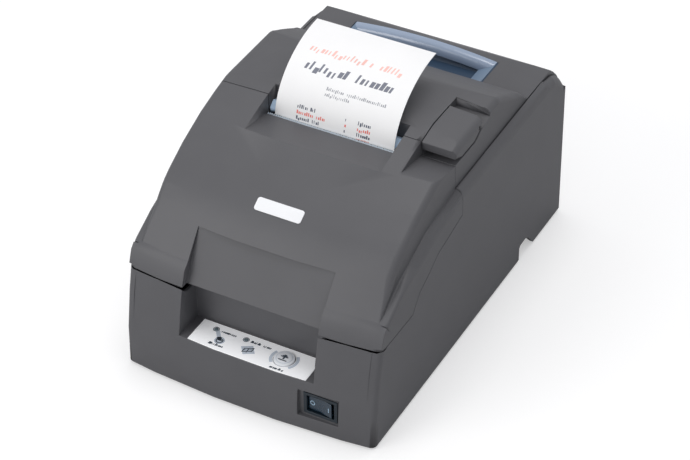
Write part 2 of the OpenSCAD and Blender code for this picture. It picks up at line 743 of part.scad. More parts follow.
module feed_motor() color([0.30, 0.31, 0.33]) {
    rod_x(frame_inner - 15, frame_inner, motor_pos, 13.5);
    rod_x(frame_inner, gear_x - 0.5, motor_pos, 2.8);
    rod_x(frame_inner, gear_x + gear_width, motor_pos, 1 - fine);
}

module feed_roller() color(rubber) {
    rod_x(-paper_width / 2, paper_width / 2, roller_pos, feed_roller_diameter / 2);
    rod_x(-frame_inner - frame_thick, gear_x + gear_width, roller_pos, 2.5);
}

module pinch_shaft() color(steel) rod_x(-frame_inner - frame_thick, frame_inner + frame_thick, pinch_pos, 1.5);

module pinch_rollers() color(rubber) both_sides() difference() {
    rod_x(12, 28, pinch_pos, pinch_radius);
    rod_x(10, 30, pinch_pos, 1.5 + running_fit);
}

module paper_guide() color(dark_plastic) {
    side_prism(-39, 39, [[10, 37.2], [-16, 39.9], [-22, 41.8], [-26.2, 46], [-27.6, 51], [-29.2, 51], [-28, 45], [-24, 40], [-17, 36], [10, 34]]);
    both_sides() box(34, 39, -20, -14, base_top, 38);
    both_sides() box(34, 39, 2, 8, base_top, 36);
}

// ---- Cutter ----

cutter_floor = 94.5;

module cutter_frame() color(steel) difference() {
    union() {
        box(-frame_inner - frame_thick, frame_inner + frame_thick, -62, -8.3, 93, cutter_floor);
        both_sides() box(42.5, 45.5, -46, -10, 93, 101);
        box(-2, 28, -58, -40, 97.4, 98.9);
        box(24, 28, -58, -40, 94, 98);
    }
    box(-40, 40, paper_y - 1.5, paper_y + 1.5, 90, 96);
    rod_z(90, 110, pinion_place[0], pinion_place[1], 2.2);
}

module fixed_blade() color([0.80, 0.82, 0.85]) box(-42.5, 42.5, paper_y + web_thickness + 0.25, -12, 95.8, 97);

pinion_place = [8.6, -50];
rack_teeth = 8;
cutter_gear_teeth = 14;

module moving_blade() color([0.80, 0.82, 0.85]) {
    box(-42.1, 42.1, -38, paper_y - 1.8, cutter_floor + fine, 95.5);
    box(-1.5, 2, -61, -37.5, cutter_floor + fine, 95.5);
    for (i = [0 : rack_teeth - 1]) translate([2 - 0.2, pinion_place[1] + (i - rack_teeth / 2 + 0.5) * PI * gear_module, cutter_floor + fine])
        linear_extrude(height = 1 - fine) polygon([[0, -0.78 * gear_module], [1.5, -0.3 * gear_module], [1.5, 0.3 * gear_module], [0, 0.78 * gear_module]]);
}

module cutter_pinion() color(gear_white) translate([pinion_place[0], pinion_place[1], cutter_floor + 0.3]) difference() {
    toothed_wheel(cutter_gear_teeth, 2.2, cutter_gear_teeth / 2);
    translate([0, 0, -1]) cylinder(h = 5, r = 1);
}

module cutter_motor() color([0.30, 0.31, 0.33]) {
    rod_z(98.9, 114, pinion_place[0] + 3, pinion_place[1], 9);
    rod_z(cutter_floor + 0.4, 100, pinion_place[0], pinion_place[1], 1 - fine);
    rod_z(97.4, 100, pinion_place[0], pinion_place[1], 2);
}

// ---- Ribbon ----

cassette_low = 52.8;
cassette_high = 71;
ribbon_y = paper_y - 1.15;

module ribbon_cassette() color(dark_plastic) difference() {
    union() {
        box(-57, 57, -94, -74, cassette_low, cassette_high);
        both_sides() side_prism(48, 57, [[-74.5, cassette_low], [-30, cassette_low], [-26.4, 55], [-26.4, cassette_high], [-74.5, cassette_high]]);
    }
    box(-55, 55, -92.4, -75.6, cassette_low + 1.6, cassette_high - 1.6);
    rod_z(50, 80, ribbon_gear_pos[0], ribbon_gear_pos[1], 2.6 + running_fit);
    box(-60, 60, ribbon_y - 0.5, ribbon_y + 0.3, 55.5, 69.5);
}

module ribbon() color([0.12, 0.11, 0.16]) box(-53, 53, ribbon_y - 0.15, ribbon_y + 0.1, 56, 69);

module ribbon_knob() color(dark_plastic) translate([ribbon_gear_pos[0], ribbon_gear_pos[1], 0]) {
    rod_z(cassette_high + 0.2, 76, 0, 0, 6);
    for (i = [0 : 11]) rotate(30 * i) rod_z(cassette_high + 0.2, 76, 6, 0, 0.8, $fn = 16);
    rod_z(53.8, 73, 0, 0, 2.6);
}

module ribbon_gear() color(gear_white) translate([ribbon_gear_pos[0], ribbon_gear_pos[1], 0]) {
    translate([0, 0, 44.7]) toothed_wheel(ribbon_teeth, 4, ribbon_mesh);
    rod_z(44.6, 53.8, 0, 0, 2.2);
    rod_z(base_top, 46, 0, 0, 1.5);
}

// Turn, in teeth, that puts a gap of the ribbon gear where the pulley's tooth is
mesh_angle = atan2(pulley_y - ribbon_gear_pos[1], pulley_x - ribbon_gear_pos[0]);
pulley_phase = (mesh_angle + 180) / 360 * pinion_teeth;
ribbon_mesh = mesh_angle / 360 * ribbon_teeth + 0.5 + (pulley_phase - floor(pulley_phase));

// ---- Paper ----

module paper_roll() color(white) difference() {
    rod_x(-paper_width / 2, paper_width / 2, roll_pos, roll_radius, $fn = 96);
    rod_x(-50, 50, roll_pos, core_diameter / 2 + running_fit);
}

module roll_core() color([0.75, 0.66, 0.52]) difference() {
    rod_x(-paper_width / 2, paper_width / 2, roll_pos, core_diameter / 2);
    rod_x(-50, 50, roll_pos, core_diameter / 2 - 2.5);
}

low_web_line = [[47.5, 34.1], [8, 38.5], [-14, 41.2], [-21.3, 43.4], [-24.9, 47.4], [paper_y, 52], [paper_y, 94.2]];
high_web_line = [[paper_y, 96], [paper_y, 98], [-24, 106], [-19, 116], [-16.4, 120], [-15.9, 122.2]];

// A thin sheet along a (y, z) line, its thickness to the back and upwards
function sheet(line, t) = concat(line, [for (i = [len(line) - 1 : -1 : 0])
    let (d = unit(line[min(i + 1, len(line) - 1)] - line[max(i - 1, 0)])) line[i] + t * [d[1], -d[0]]]);

// The paper from the roll to the cutter, and from the cutter to the exit
module paper_web() color(white) {
    side_prism(-paper_width / 2, paper_width / 2, sheet(low_web_line, web_thickness));
    side_prism(-paper_width / 2, paper_width / 2, sheet(high_web_line, web_thickness));
}

receipt_steps = 16;
receipt_low = 119;
function receipt_point(k, t) = let (a = 5.5 + (90 - 5.5) * k / receipt_steps)
    [35 - (receipt_reach - t) * cos(a), receipt_low + (receipt_rise - t) * sin(a)];

module receipt_paper() color(white) side_prism(-paper_width / 2, paper_width / 2,
    concat([for (k = [0 : receipt_steps]) receipt_point(k, 0)], [for (k = [receipt_steps : -1 : 0]) receipt_point(k, 0.25)]));

module paper_bin() color(dark_plastic) difference() {
    union() {
        rod_x(-bin_half - bin_wall, bin_half + bin_wall, roll_pos, bin_radius + bin_wall, $fn = 96);
        box(-bin_half - bin_wall, bin_half + bin_wall, roll_pos[0] - bin_radius - bin_wall, roll_pos[0] + bin_radius + bin_wall, roll_pos[1], 95.8);
        box(-74, 74, 27, roll_pos[0] + bin_radius + 5, 93.8, 95.8);
    }
    rod_x(-bin_half, bin_half, roll_pos, bin_radius, $fn = 96);
    box(-bin_half, bin_half, roll_pos[0] - bin_radius, roll_pos[0] + bin_radius, roll_pos[1], 120);
    box(-bin_half - 5, bin_half + 5, 0, 90, 95.8, 130);
    box(-bin_half, bin_half, 0, 48.5, 20, 50);
    both_sides() box(55, 80, 36, 90, 90, 100);
}

// ---- Electronics ----

module main_board() color(board_green) difference() {
    union() {
        box(-66, 66, -2, 62, board_z, board_z + 1.6);
        box(4, 64, 61, 116, board_z, board_z + 1.6);
        for (x = [-50 : 16 : 30]) box(x, x + 10, 12, 24, board_z, board_z + 3.4);
        for (x = [-40, -24]) rod_z(board_z, board_z + 14, x, 42, 5);
        box(-10, 14, 34, 50, board_z, board_z + 4);
        box(34, 54, 70, 84, board_z, board_z + 10);
    }
    for (p = board_places) rod_z(0, 40, p[0], p[1], 1.4);
}

module interface_card() color(board_green) {
    box(-61, -9, 72, half_depth - wall, card_z, card_z + 1.6);
    box(-46, -34, half_depth - 18, half_depth - 0.2, card_z + 1.6, card_z + 12.6);
    box(-50, -30, 80, 96, card_z, card_z + 4);
}

module interface_plate() color(steel) difference() {
    box(card_plate[0] + 0.2, card_plate[1] - 0.2, half_depth - 1.2, half_depth - 0.2, card_plate[2] + 0.2, card_plate[3] - 0.2);
    box(-46.1, -33.9, half_depth - 3, half_depth + 1, card_z + 1.5, card_z + 12.7);
}

module dc_inlet() color(dark_plastic) difference() {
    union() {
        box(inlet_place[0] - 8, inlet_place[0] + 8, half_depth - 20, half_depth - wall - 0.05, board_z + 1.6, inlet_place[1] + 7.5);
        rod_y(half_depth - 14, half_depth - 0.3, inlet_place[0], inlet_place[1], 6.9);
    }
    rod_y(half_depth - 12, half_depth + 1, inlet_place[0], inlet_place[1], 5.4);
}

module drawer_jack() color(dark_plastic) difference() {
    box(jack_place[0] - 6.7, jack_place[0] + 6.7, half_depth - 16, half_depth - 0.3, board_z + 1.6, jack_place[1] + 6.4);
    box(jack_place[0] - 5, jack_place[0] + 5, half_depth - 12, half_depth + 1, jack_place[1] - 3.4, jack_place[1] + 3.6);
    box(jack_place[0] - 2, jack_place[0] + 2, half_depth - 12, half_depth + 1, jack_place[1] - 5, jack_place[1]);
}

lower_case();
front_cover();
roll_cover();
cover_lever();
lever_pin();
roll_window();
tear_bar();
badge();
panel_overlay();
status_leds();
panel_board();
feed_button();
switch_body();
power_rocker();
front_hinge_pins();
rear_hinge_pins();
frame_left();
frame_right();
frame_base();
platen();
carriage_shaft();
guide_rail();
carriage();
print_head();
timing_belt();
drive_pulley();
idler_pulley();
carriage_motor();
feed_motor();
motor_pinion();
idler_gear();
feed_roller();
feed_gear();
pinch_shaft();
pinch_rollers();
paper_guide();
cutter_frame();
fixed_blade();
moving_blade();
cutter_motor();
cutter_pinion();
ribbon_cassette();
ribbon();
ribbon_knob();
ribbon_gear();
paper_roll();
roll_core();
paper_bin();
paper_web();
receipt_paper();
main_board();
interface_card();
interface_plate();
dc_inlet();
drawer_jack();
rubber_feet();
case_screws();
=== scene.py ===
"""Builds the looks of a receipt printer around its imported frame, and sets up the view of it."""

from __future__ import annotations

import json
import logging
import math
from dataclasses import dataclass
from enum import Enum

import bmesh
import bpy
import numpy as np
from mathutils import Matrix, Vector

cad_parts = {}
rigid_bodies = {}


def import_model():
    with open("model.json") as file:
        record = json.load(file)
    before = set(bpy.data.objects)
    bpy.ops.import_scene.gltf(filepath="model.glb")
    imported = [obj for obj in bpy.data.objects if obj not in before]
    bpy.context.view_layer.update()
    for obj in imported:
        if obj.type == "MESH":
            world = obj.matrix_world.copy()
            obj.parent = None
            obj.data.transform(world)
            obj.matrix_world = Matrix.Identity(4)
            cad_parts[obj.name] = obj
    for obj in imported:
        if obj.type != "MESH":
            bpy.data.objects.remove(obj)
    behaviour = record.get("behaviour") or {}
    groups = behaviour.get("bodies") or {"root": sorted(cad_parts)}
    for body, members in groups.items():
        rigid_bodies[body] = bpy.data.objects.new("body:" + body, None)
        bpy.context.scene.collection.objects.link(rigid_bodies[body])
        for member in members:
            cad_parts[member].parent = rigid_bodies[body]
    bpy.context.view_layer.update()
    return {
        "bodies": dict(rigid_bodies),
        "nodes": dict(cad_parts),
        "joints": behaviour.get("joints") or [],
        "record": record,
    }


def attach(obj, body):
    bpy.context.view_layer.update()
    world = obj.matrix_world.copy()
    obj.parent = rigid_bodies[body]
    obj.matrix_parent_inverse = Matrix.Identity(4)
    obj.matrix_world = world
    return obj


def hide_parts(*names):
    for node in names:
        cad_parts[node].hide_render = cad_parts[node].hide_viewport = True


logging.basicConfig(level=logging.INFO, format="%(message)s")
LOG = logging.getLogger("printer")

MM = 0.001
Color = tuple[float, float, float]
Pair = tuple[float, float]
Line = tuple[Pair, ...]


def linear(hex_code: str) -> Color:
    """Turns a display colour into the linear one that shaders take.

    Args:
        hex_code: six hexadecimal digits.

    Returns:
        Red, green and blue, each from 0 to 1.
    """
    parts = [int(hex_code[i:i + 2], 16) / 255 for i in (0, 2, 4)]
    return tuple(c / 12.92 if c <= 0.04045 else ((c + 0.055) / 1.055) ** 2.4 for c in parts)


# ---------------------------------------------------------------- materials


class Pattern(Enum):
    """What varies a finish over its surface."""

    GRAIN = "grain"
    BRUSHED = "brushed"
    BOARD = "board"


@dataclass(frozen=True)
class Finish:
    """One surface finish.

    Attributes:
        name: the material's name.
        color: linear base colour.
        roughness: mean roughness.
        pattern: what varies the surface.
        scale: how fine the pattern is, in cycles for each metre.
        depth: height of the pattern's bumps, in millimetres.
        mottle: how far the colour varies, as a share of its brightness.
        metallic: 1 for bare metal.
        coat: clear coat, 0 to 1.
        glow: light that the surface shows by itself, 0 to 1.
    """

    name: str
    color: Color
    roughness: float
    pattern: Pattern = Pattern.GRAIN
    scale: float = 3000.0
    depth: float = 0.0
    mottle: float = 0.05
    metallic: float = 0.0
    coat: float = 0.0
    glow: float = 0.0


FINISHES: dict[str, Finish] = {f.name: f for f in (
    Finish("casing", linear("555558"), 0.5, scale=2600, depth=0.02),
    Finish("dark_plastic", linear("26272a"), 0.5, scale=1600, depth=0.03),
    Finish("bezel", linear("12202a"), 0.38, scale=1600, depth=0.01),
    Finish("smoked", linear("33475d"), 0.4, scale=500, mottle=0.04, coat=0.1),
    # painted highlight: a pale, glossy copy of the smoked colour for the bright band along the trough's rear
    # edge
    Finish("smoked_painted_highlight", linear("93a2b8"), 0.2, scale=500, mottle=0.02, coat=0.7),
    # painted light: a lighter copy of the smoked colour for the lit ends of the trough
    Finish("smoked_painted_light", linear("72879e"), 0.35, scale=500, mottle=0.03, coat=0.3),
    # painted reflection: the tear bar's steel is a pale, non-metallic colour that stands in for its bright
    # reflection
    Finish("blade_steel", linear("cde6ff"), 0.32, Pattern.BRUSHED, 1400, 0.01, mottle=0.1),
    # painted highlight: near-white teeth for the bright edge highlight along the exit
    Finish("comb_painted_highlight", linear("e3eef8"), 0.35, Pattern.BRUSHED, 1400, mottle=0.06, metallic=0.1),
    Finish("plate_steel", linear("b4b6b9"), 0.36, Pattern.BRUSHED, 900, 0.01, mottle=0.12, metallic=0.9),
    Finish("motor_steel", linear("55575b"), 0.42, Pattern.BRUSHED, 700, 0.01, mottle=0.15, metallic=0.7),
    Finish("badge_plate", linear("f1f2f4"), 0.3, scale=900, mottle=0.02, coat=0.3),
    # painted light: the label glows a little so that the shade in the recess doesn't darken it
    Finish("panel_label", linear("fbfcfe"), 0.42, scale=1500, depth=0.004, mottle=0.03, glow=0.1),
    Finish("led_green", linear("65757c"), 0.18, scale=400, mottle=0.2, coat=0.8),
    Finish("board", linear("14513a"), 0.4, Pattern.BOARD, 260, 0.06, mottle=0.25),
    Finish("button_grey", linear("eef1f5"), 0.36, scale=1500, depth=0.01, mottle=0.03),
    Finish("rocker_dark", linear("1c3040"), 0.28, scale=900, mottle=0.06, coat=0.4),
    Finish("gear_plastic", linear("e4e0d2"), 0.45, scale=1200, depth=0.01, mottle=0.04),
    Finish("rubber_black", linear("1d1d1f"), 0.8, scale=2400, depth=0.06, mottle=0.12),
    Finish("ribbon_ink", linear("201d29"), 0.85, scale=2600, depth=0.05, mottle=0.2),
    Finish("paper_white", linear("f3f3f3"), 0.72, scale=2200, depth=0.012, mottle=0.025),
    Finish("core_board", linear("b79c77"), 0.85, scale=900, depth=0.04, mottle=0.14),
    Finish("ink_black", linear("7b7e8a"), 0.75, mottle=0.35),
    Finish("ink_red", linear("f6c3bb"), 0.75, mottle=0.25),
    Finish("ink_grey", linear("9a9ca3"), 0.75, mottle=0.3),
    Finish("ink_item", linear("5b6070"), 0.75, mottle=0.3),
    Finish("ink_item_red", linear("ec7d72"), 0.75, mottle=0.25),
    Finish("sign_dark", linear("3a4550"), 0.6, mottle=0.1),
    Finish("sign_pale", linear("c6cfda"), 0.6, mottle=0.04),
    Finish("mark_white", linear("a9c6dc"), 0.5),
    Finish("floor", linear("d0d0d0"), 0.9, scale=20, mottle=0.0, glow=0.42),
)}


class Palette:
    """Makes each material once and hands it out.

    Attributes:
        BRUSH: stretch of the fine pattern that makes it brushed.
        PATCH_SCALE: how much coarser the broad patches are than the fine pattern.
        PATCH_LEAST: the coarsest patches, in cycles for each metre.
        PATCH_SHADE: brightness of the patches, as a share of the base colour's.
        PATCH_RANGE: part of the broad noise over which a patch fades in.
        PATCH_GAIN: how strong the patches are for each unit of mottle.
        PATCH_MOST: how strong they are at most.
        ROUGH_SPREAD: how far the roughness varies to each side.
        ROUGH_LEAST: the lowest roughness.
        COAT_ROUGHNESS: roughness of the clear coat.
        TRACE_WIDTH: width of the lines on a circuit board, as a share of a field.
        TRACE_SHADES: brightness of the fields and of those lines.
    """

    BRUSH = (0.04, 1.0, 1.0)
    PATCH_SCALE = 0.02
    PATCH_LEAST = 12.0
    PATCH_SHADE = 0.82
    PATCH_RANGE = (0.35, 0.75)
    PATCH_GAIN = 6.0
    PATCH_MOST = 0.6
    ROUGH_SPREAD = 0.06
    ROUGH_LEAST = 0.02
    COAT_ROUGHNESS = 0.15
    TRACE_WIDTH = 0.12
    TRACE_SHADES = {"Color1": 0.35, "Color2": 0.5, "Mortar": 1.0}

    def __init__(self, finishes: dict[str, Finish]) -> None:
        """Keeps the finishes until they are asked for."""
        self.finishes = finishes
        self.made: dict[str, bpy.types.Material] = {}

    def __getitem__(self, name: str) -> bpy.types.Material:
        """The material of that name, made on first use.

        Args:
            name: a finish's name.

        Returns:
            The Blender material.
        """
        if name not in self.made:
            self.made[name] = self._build(self.finishes[name])
        return self.made[name]

    def _build(self, finish: Finish) -> bpy.types.Material:
        """Makes a material whose colour, roughness and bumps vary with noise.

        The colour is the base colour, shaded in broad patches, times a fine speckle.

        Args:
            finish: what it looks like.

        Returns:
            The Blender material.
        """
        mat = bpy.data.materials.new(finish.name)
        mat.use_nodes = True
        tree = mat.node_tree
        nodes, links = tree.nodes, tree.links
        shader = nodes["Principled BSDF"]
        shader.inputs["Metallic"].default_value = finish.metallic
        shader.inputs["Coat Weight"].default_value = finish.coat
        shader.inputs["Coat Roughness"].default_value = self.COAT_ROUGHNESS
        shader.inputs["Emission Color"].default_value = (1, 1, 1, 1)
        if finish.glow:
            self._glow(tree, shader, finish.glow)
        place = nodes.new("ShaderNodeTexCoord").outputs["Object"]
        broad = self._noise(tree, place, max(finish.scale * self.PATCH_SCALE, self.PATCH_LEAST), 2.0)
        if finish.pattern is Pattern.BOARD:
            fine = self._traces(tree, place, finish.scale)
        else:
            stretch = nodes.new("ShaderNodeMapping")
            links.new(place, stretch.inputs["Vector"])
            if finish.pattern is Pattern.BRUSHED:
                stretch.inputs["Scale"].default_value = self.BRUSH
            fine = self._noise(tree, stretch.outputs["Vector"], finish.scale, 3.0)
        patches = nodes.new("ShaderNodeMix")
        patches.data_type = "RGBA"
        patches.inputs[6].default_value = (*finish.color, 1)
        patches.inputs[7].default_value = (*(c * self.PATCH_SHADE for c in finish.color), 1)
        shaded = (0.0, min(finish.mottle * self.PATCH_GAIN, self.PATCH_MOST))
        links.new(self._remap(tree, broad, self.PATCH_RANGE, shaded), patches.inputs[0])
        tint = nodes.new("ShaderNodeVectorMath")
        tint.operation = "SCALE"
        links.new(patches.outputs[2], tint.inputs[0])
        speckle = (1 - finish.mottle, 1 + finish.mottle)
        links.new(self._remap(tree, fine, (0.0, 1.0), speckle), tint.inputs["Scale"])
        links.new(tint.outputs[0], shader.inputs["Base Color"])
        spread = self.ROUGH_SPREAD
        rough = (max(finish.roughness - spread, self.ROUGH_LEAST), min(finish.roughness + spread, 1.0))
        links.new(self._remap(tree, fine, (0.0, 1.0), rough), shader.inputs["Roughness"])
        if finish.depth:
            bump = nodes.new("ShaderNodeBump")
            bump.inputs["Strength"].default_value = 1.0
            bump.inputs["Distance"].default_value = finish.depth * MM
            links.new(fine, bump.inputs["Height"])
            links.new(bump.outputs[0], shader.inputs["Normal"])
        return mat

    @staticmethod
    def _glow(tree: bpy.types.NodeTree, shader: bpy.types.Node, strength: float) -> None:
        """Adds light that a surface shows but doesn't throw on others.

        Args:
            tree: the material's nodes.
            shader: its surface shader.
            strength: 1 for white.
        """
        seen = tree.nodes.new("ShaderNodeLightPath")
        scaled = tree.nodes.new("ShaderNodeMath")
        scaled.operation = "MULTIPLY"
        scaled.inputs[1].default_value = strength
        tree.links.new(seen.outputs["Is Camera Ray"], scaled.inputs[0])
        tree.links.new(scaled.outputs[0], shader.inputs["Emission Strength"])

    @staticmethod
    def _remap(tree: bpy.types.NodeTree, value: bpy.types.NodeSocket, bounds: Pair,
               target: Pair) -> bpy.types.NodeSocket:
        """Moves a value from one range to another.

        Args:
            tree: the material's nodes.
            value: the socket it comes from.
            bounds: the range it has.
            target: the range it gets.

        Returns:
            The new value's socket.
        """
        node = tree.nodes.new("ShaderNodeMapRange")
        for name, number in zip(("From Min", "From Max", "To Min", "To Max"), (*bounds, *target)):
            node.inputs[name].default_value = number
        tree.links.new(value, node.inputs["Value"])
        return node.outputs[0]

    @staticmethod
    def _noise(tree: bpy.types.NodeTree, place: bpy.types.NodeSocket, scale: float,
               detail: float) -> bpy.types.NodeSocket:
        """Adds a noise texture.

        Args:
            tree: the material's nodes.
            place: the socket with the place on the surface.
            scale: how fine the noise is.
            detail: number of finer layers in it.

        Returns:
            The noise's socket, 0 to 1.
        """
        noise = tree.nodes.new("ShaderNodeTexNoise")
        noise.inputs["Scale"].default_value = scale
        noise.inputs["Detail"].default_value = detail
        tree.links.new(place, noise.inputs["Vector"])
        return noise.outputs[0]

    def _traces(self, tree: bpy.types.NodeTree, place: bpy.types.NodeSocket,
                scale: float) -> bpy.types.NodeSocket:
        """Adds a pattern of bright lines between dull fields, as on a circuit board.

        Args:
            tree: the material's nodes.
            place: the socket with the place on the surface.
            scale: how fine the pattern is.

        Returns:
            The pattern's socket.
        """
        brick = tree.nodes.new("ShaderNodeTexBrick")
        brick.inputs["Scale"].default_value = scale
        brick.inputs["Mortar Size"].default_value = self.TRACE_WIDTH
        for name, shade in self.TRACE_SHADES.items():
            brick.inputs[name].default_value = (shade, shade, shade, 1)
        tree.links.new(place, brick.inputs["Vector"])
        return brick.outputs[0]


# ---------------------------------------------------------------- mesh tools


@dataclass
class Surface:
    """Points and faces of a piece, in millimetres.

    Attributes:
        points: one row of x, y, z for each point.
        faces: one row of point numbers for each face.
    """

    points: np.ndarray
    faces: np.ndarray

    def swapped(self) -> Surface:
        """The surface with x and y exchanged."""
        return Surface(self.points[:, [1, 0, 2]], self.faces)


def merged(parts: list[Surface]) -> Surface:
    """Several surfaces as one, without any of their points merged.

    Args:
        parts: the surfaces.

    Returns:
        All of them.
    """
    starts = np.cumsum([0] + [len(part.points) for part in parts])
    return Surface(np.vstack([part.points for part in parts]),
                   np.vstack([part.faces + start for part, start in zip(parts, starts)]))


def strip_faces(rows: int, columns: int) -> np.ndarray:
    """Quads of a grid of points, row after row.

    Args:
        rows: number of rows of points.
        columns: number of points in a row.

    Returns:
        Four point numbers for each quad.
    """
    start = np.arange(rows - 1)[:, None] * columns + np.arange(columns - 1)[None, :]
    return np.stack([start, start + 1, start + columns + 1, start + columns], -1).reshape(-1, 4)


def lofted(loops: np.ndarray, first: np.ndarray, last: np.ndarray) -> Surface:
    """A closed skin over a row of closed loops.

    Args:
        loops: the loops' points, each loop with its first point again at its end.
        first: the point that closes the first loop as a fan.
        last: the point that closes the last loop.

    Returns:
        The skin.
    """
    shape = (1, *loops.shape[1:])
    rows = np.concatenate([np.broadcast_to(first, shape), loops, np.broadcast_to(last, shape)])
    return Surface(rows.reshape(-1, 3), strip_faces(*rows.shape[:2]))


def boxes(low: np.ndarray, high: np.ndarray) -> Surface:
    """Separate boxes between pairs of corners.

    Args:
        low: the lowest corners, one row for each box.
        high: the highest corners.

    Returns:
        All the boxes as one surface.
    """
    low, high = np.atleast_2d(low).astype(float), np.atleast_2d(high).astype(float)
    pick = np.array([[0, 0, 0], [1, 0, 0], [1, 1, 0], [0, 1, 0], [0, 0, 1], [1, 0, 1], [1, 1, 1], [0, 1, 1]])
    points = np.where(pick[None] == 0, low[:, None], high[:, None]).reshape(-1, 3)
    quads = np.array([[0, 3, 2, 1], [4, 5, 6, 7], [0, 1, 5, 4], [1, 2, 6, 5], [2, 3, 7, 6], [3, 0, 4, 7]])
    return Surface(points, (np.arange(len(low))[:, None, None] * 8 + quads[None]).reshape(-1, 4))


def plates(rectangles: np.ndarray, low: float, high: float) -> Surface:
    """Level plates of one thickness.

    Args:
        rectangles: lowest x and y and highest x and y of each plate.
        low: height of their underside.
        high: height of their top.

    Returns:
        All the plates as one surface.
    """
    rectangles = np.atleast_2d(rectangles)
    levels = np.broadcast_to([[low, high]], (len(rectangles), 2))
    return boxes(np.column_stack([rectangles[:, :2], levels[:, :1]]),
                 np.column_stack([rectangles[:, 2:], levels[:, 1:]]))


def prism(section: np.ndarray, start: float, end: float, steps: int = 1) -> Surface:
    """A straight prism along x.

    Args:
        section: y and z of its outline's points.
        start: lowest x.
        end: highest x.
        steps: number of stretches that it is made in.

    Returns:
        The closed prism.
    """
    outline = np.vstack([section, section[:1]])
    stations = np.linspace(start, end, steps + 1)
    shape = (len(stations), len(outline))
    loops = np.concatenate([np.broadcast_to(stations[:, None, None], (*shape, 1)),
                            np.broadcast_to(outline, (*shape, 2))], -1)
    middle = section.mean(0)
    return lofted(loops, np.array([start, *middle]), np.array([end, *middle]))


def spun(profile: np.ndarray, centre: Pair, start: float = 0.0, sweep: float = 360.0,
         steps: int = 64) -> Surface:
    """A profile turned about a vertical axis.

    Each point with radius r and height h goes to (r cos t, r sin t, h) for each angle t of the turn.

    Args:
        profile: radius and height of its points; for a whole turn a closed line, or one that starts
            and ends on the axis.
        centre: x and y of the axis.
        start: first angle, in degrees.
        sweep: how far it reaches round.
        steps: number of flats.

    Returns:
        Its surface, open at the ends of a part turn.
    """
    angle = np.radians(start + sweep * np.arange(steps + 1) / steps)[:, None]
    radius, height = profile.T
    points = np.stack([centre[0] + radius * np.cos(angle), centre[1] + radius * np.sin(angle),
                       np.broadcast_to(height, (steps + 1, len(height)))], -1).reshape(-1, 3)
    return Surface(points, strip_faces(steps + 1, len(height)))


def ring(centre: Pair, radii: Pair, levels: Pair, start: float = 0.0, sweep: float = 360.0,
         steps: int = 48) -> Surface:
    """A flat ring, or part of one, lying level.

    Args:
        centre: x and y of its middle.
        radii: inner and outer radius.
        levels: heights of its underside and its top.
        start: first angle, in degrees.
        sweep: how far it reaches round.
        steps: number of flats.

    Returns:
        The closed ring.
    """
    (inner, outer), (low, high) = radii, levels
    section = np.array([[inner, low], [outer, low], [outer, high], [inner, high], [inner, low]])
    band = spun(section, centre, start, sweep, steps)
    if sweep < 360:
        ends = np.arange(4) + np.array([[0], [steps * len(section)]])
        band.faces = np.vstack([band.faces, ends])
    return band


def directions(line: np.ndarray) -> np.ndarray:
    """The unit direction of a line at each of its places.

    Args:
        line: two coordinates of each place.

    Returns:
        Two components for each place.
    """
    along = np.gradient(line, axis=0)
    return along / np.linalg.norm(along, axis=1, keepdims=True)


def resampled(corners: Line, count: int) -> np.ndarray:
    """A line through corners as places that are evenly spaced in y.

    Args:
        corners: y and z of the corners.
        count: number of places.

    Returns:
        y and z of the places.
    """
    y = np.linspace(corners[0][0], corners[-1][0], count)
    return np.column_stack([y, np.interp(y, *np.array(corners).T)])


def along_line(line: np.ndarray, stations: Line) -> np.ndarray:
    """A value that changes evenly from station to station of a line.

    Args:
        line: y and z of the line's places.
        stations: y of each station and the value there.

    Returns:
        The value at each place.
    """
    return np.interp(line[:, 0], *np.array(stations).T)


def edge_cutter(side: float, line: np.ndarray, reach: np.ndarray, fall: np.ndarray,
                rise: np.ndarray) -> Surface:
    """The solid that a shell's long edge is rounded off with.

    Each place E of the edge carries the quarter arc E + A (1 - sin t) + B (1 - cos t), where A runs
    inwards along the top and B down the side, square to the edge. The solid lies outside that arc.

    Args:
        side: x of the edge.
        line: y and z of the edge's places.
        reach: how far the rounding reaches in over the top, at each place.
        fall: how far it reaches down the side.
        rise: how much the top climbs inwards.

    Returns:
        The closed solid.
    """
    outside, overshoot, hub = -0.6, 2, (-0.6, 0.2)
    along = directions(line)
    edge = np.column_stack([np.full(len(line), side), line])
    climb = reach * rise
    inwards = np.column_stack([-np.sign(side) * reach, -along[:, 1] * climb, along[:, 0] * climb])
    down = np.column_stack([np.zeros(len(line)), along[:, 1], -along[:, 0]]) * fall[:, None]
    turn = np.radians(np.linspace(-overshoot, 90 + overshoot, 11))
    arc = np.stack([1 - np.sin(turn), 1 - np.cos(turn)], -1)
    section = np.vstack([arc, [[outside, 1.0], [outside, outside], [1.0, outside]], arc[:1], [hub]])
    points = edge[:, None] + section[:, :1] * inwards[:, None] + section[:, 1:] * down[:, None]
    return lofted(points[:, :-1], points[0, -1], points[-1, -1])


def edge_lip(side: float, line: np.ndarray, radius: np.ndarray, depth: float) -> Surface:
    """A strip that gives a deeply rounded edge a tighter rounding.

    At each place the section is a quarter arc of the new radius, closed inside the wall.

    Args:
        side: x of the edge before it was rounded.
        line: y and z of the edge's places.
        radius: the new rounding, at each place.
        depth: the old rounding.

    Returns:
        The closed strip.
    """
    inside = np.array([[0.0, 0.98], [0.3, 0.98], [1.2, 0.3], [1.28, 0.01]]) * depth
    turn = np.radians(np.linspace(0, 90, 9))
    arc = np.stack([1 - np.sin(turn), 1 - np.cos(turn)], -1) * radius[:, None, None]
    hub = arc.shape[1] + 1
    section = np.concatenate([arc, np.broadcast_to(inside, (len(line), *inside.shape)), arc[:, :1]], 1)
    inwards, down = section[..., 0], section[..., 1]
    along = directions(line)[:, None]
    loops = np.stack([side - np.sign(side) * inwards, line[:, None, 0] + down * along[..., 1],
                      line[:, None, 1] - down * along[..., 0]], -1)
    return lofted(loops, loops[0, hub], loops[-1, hub])


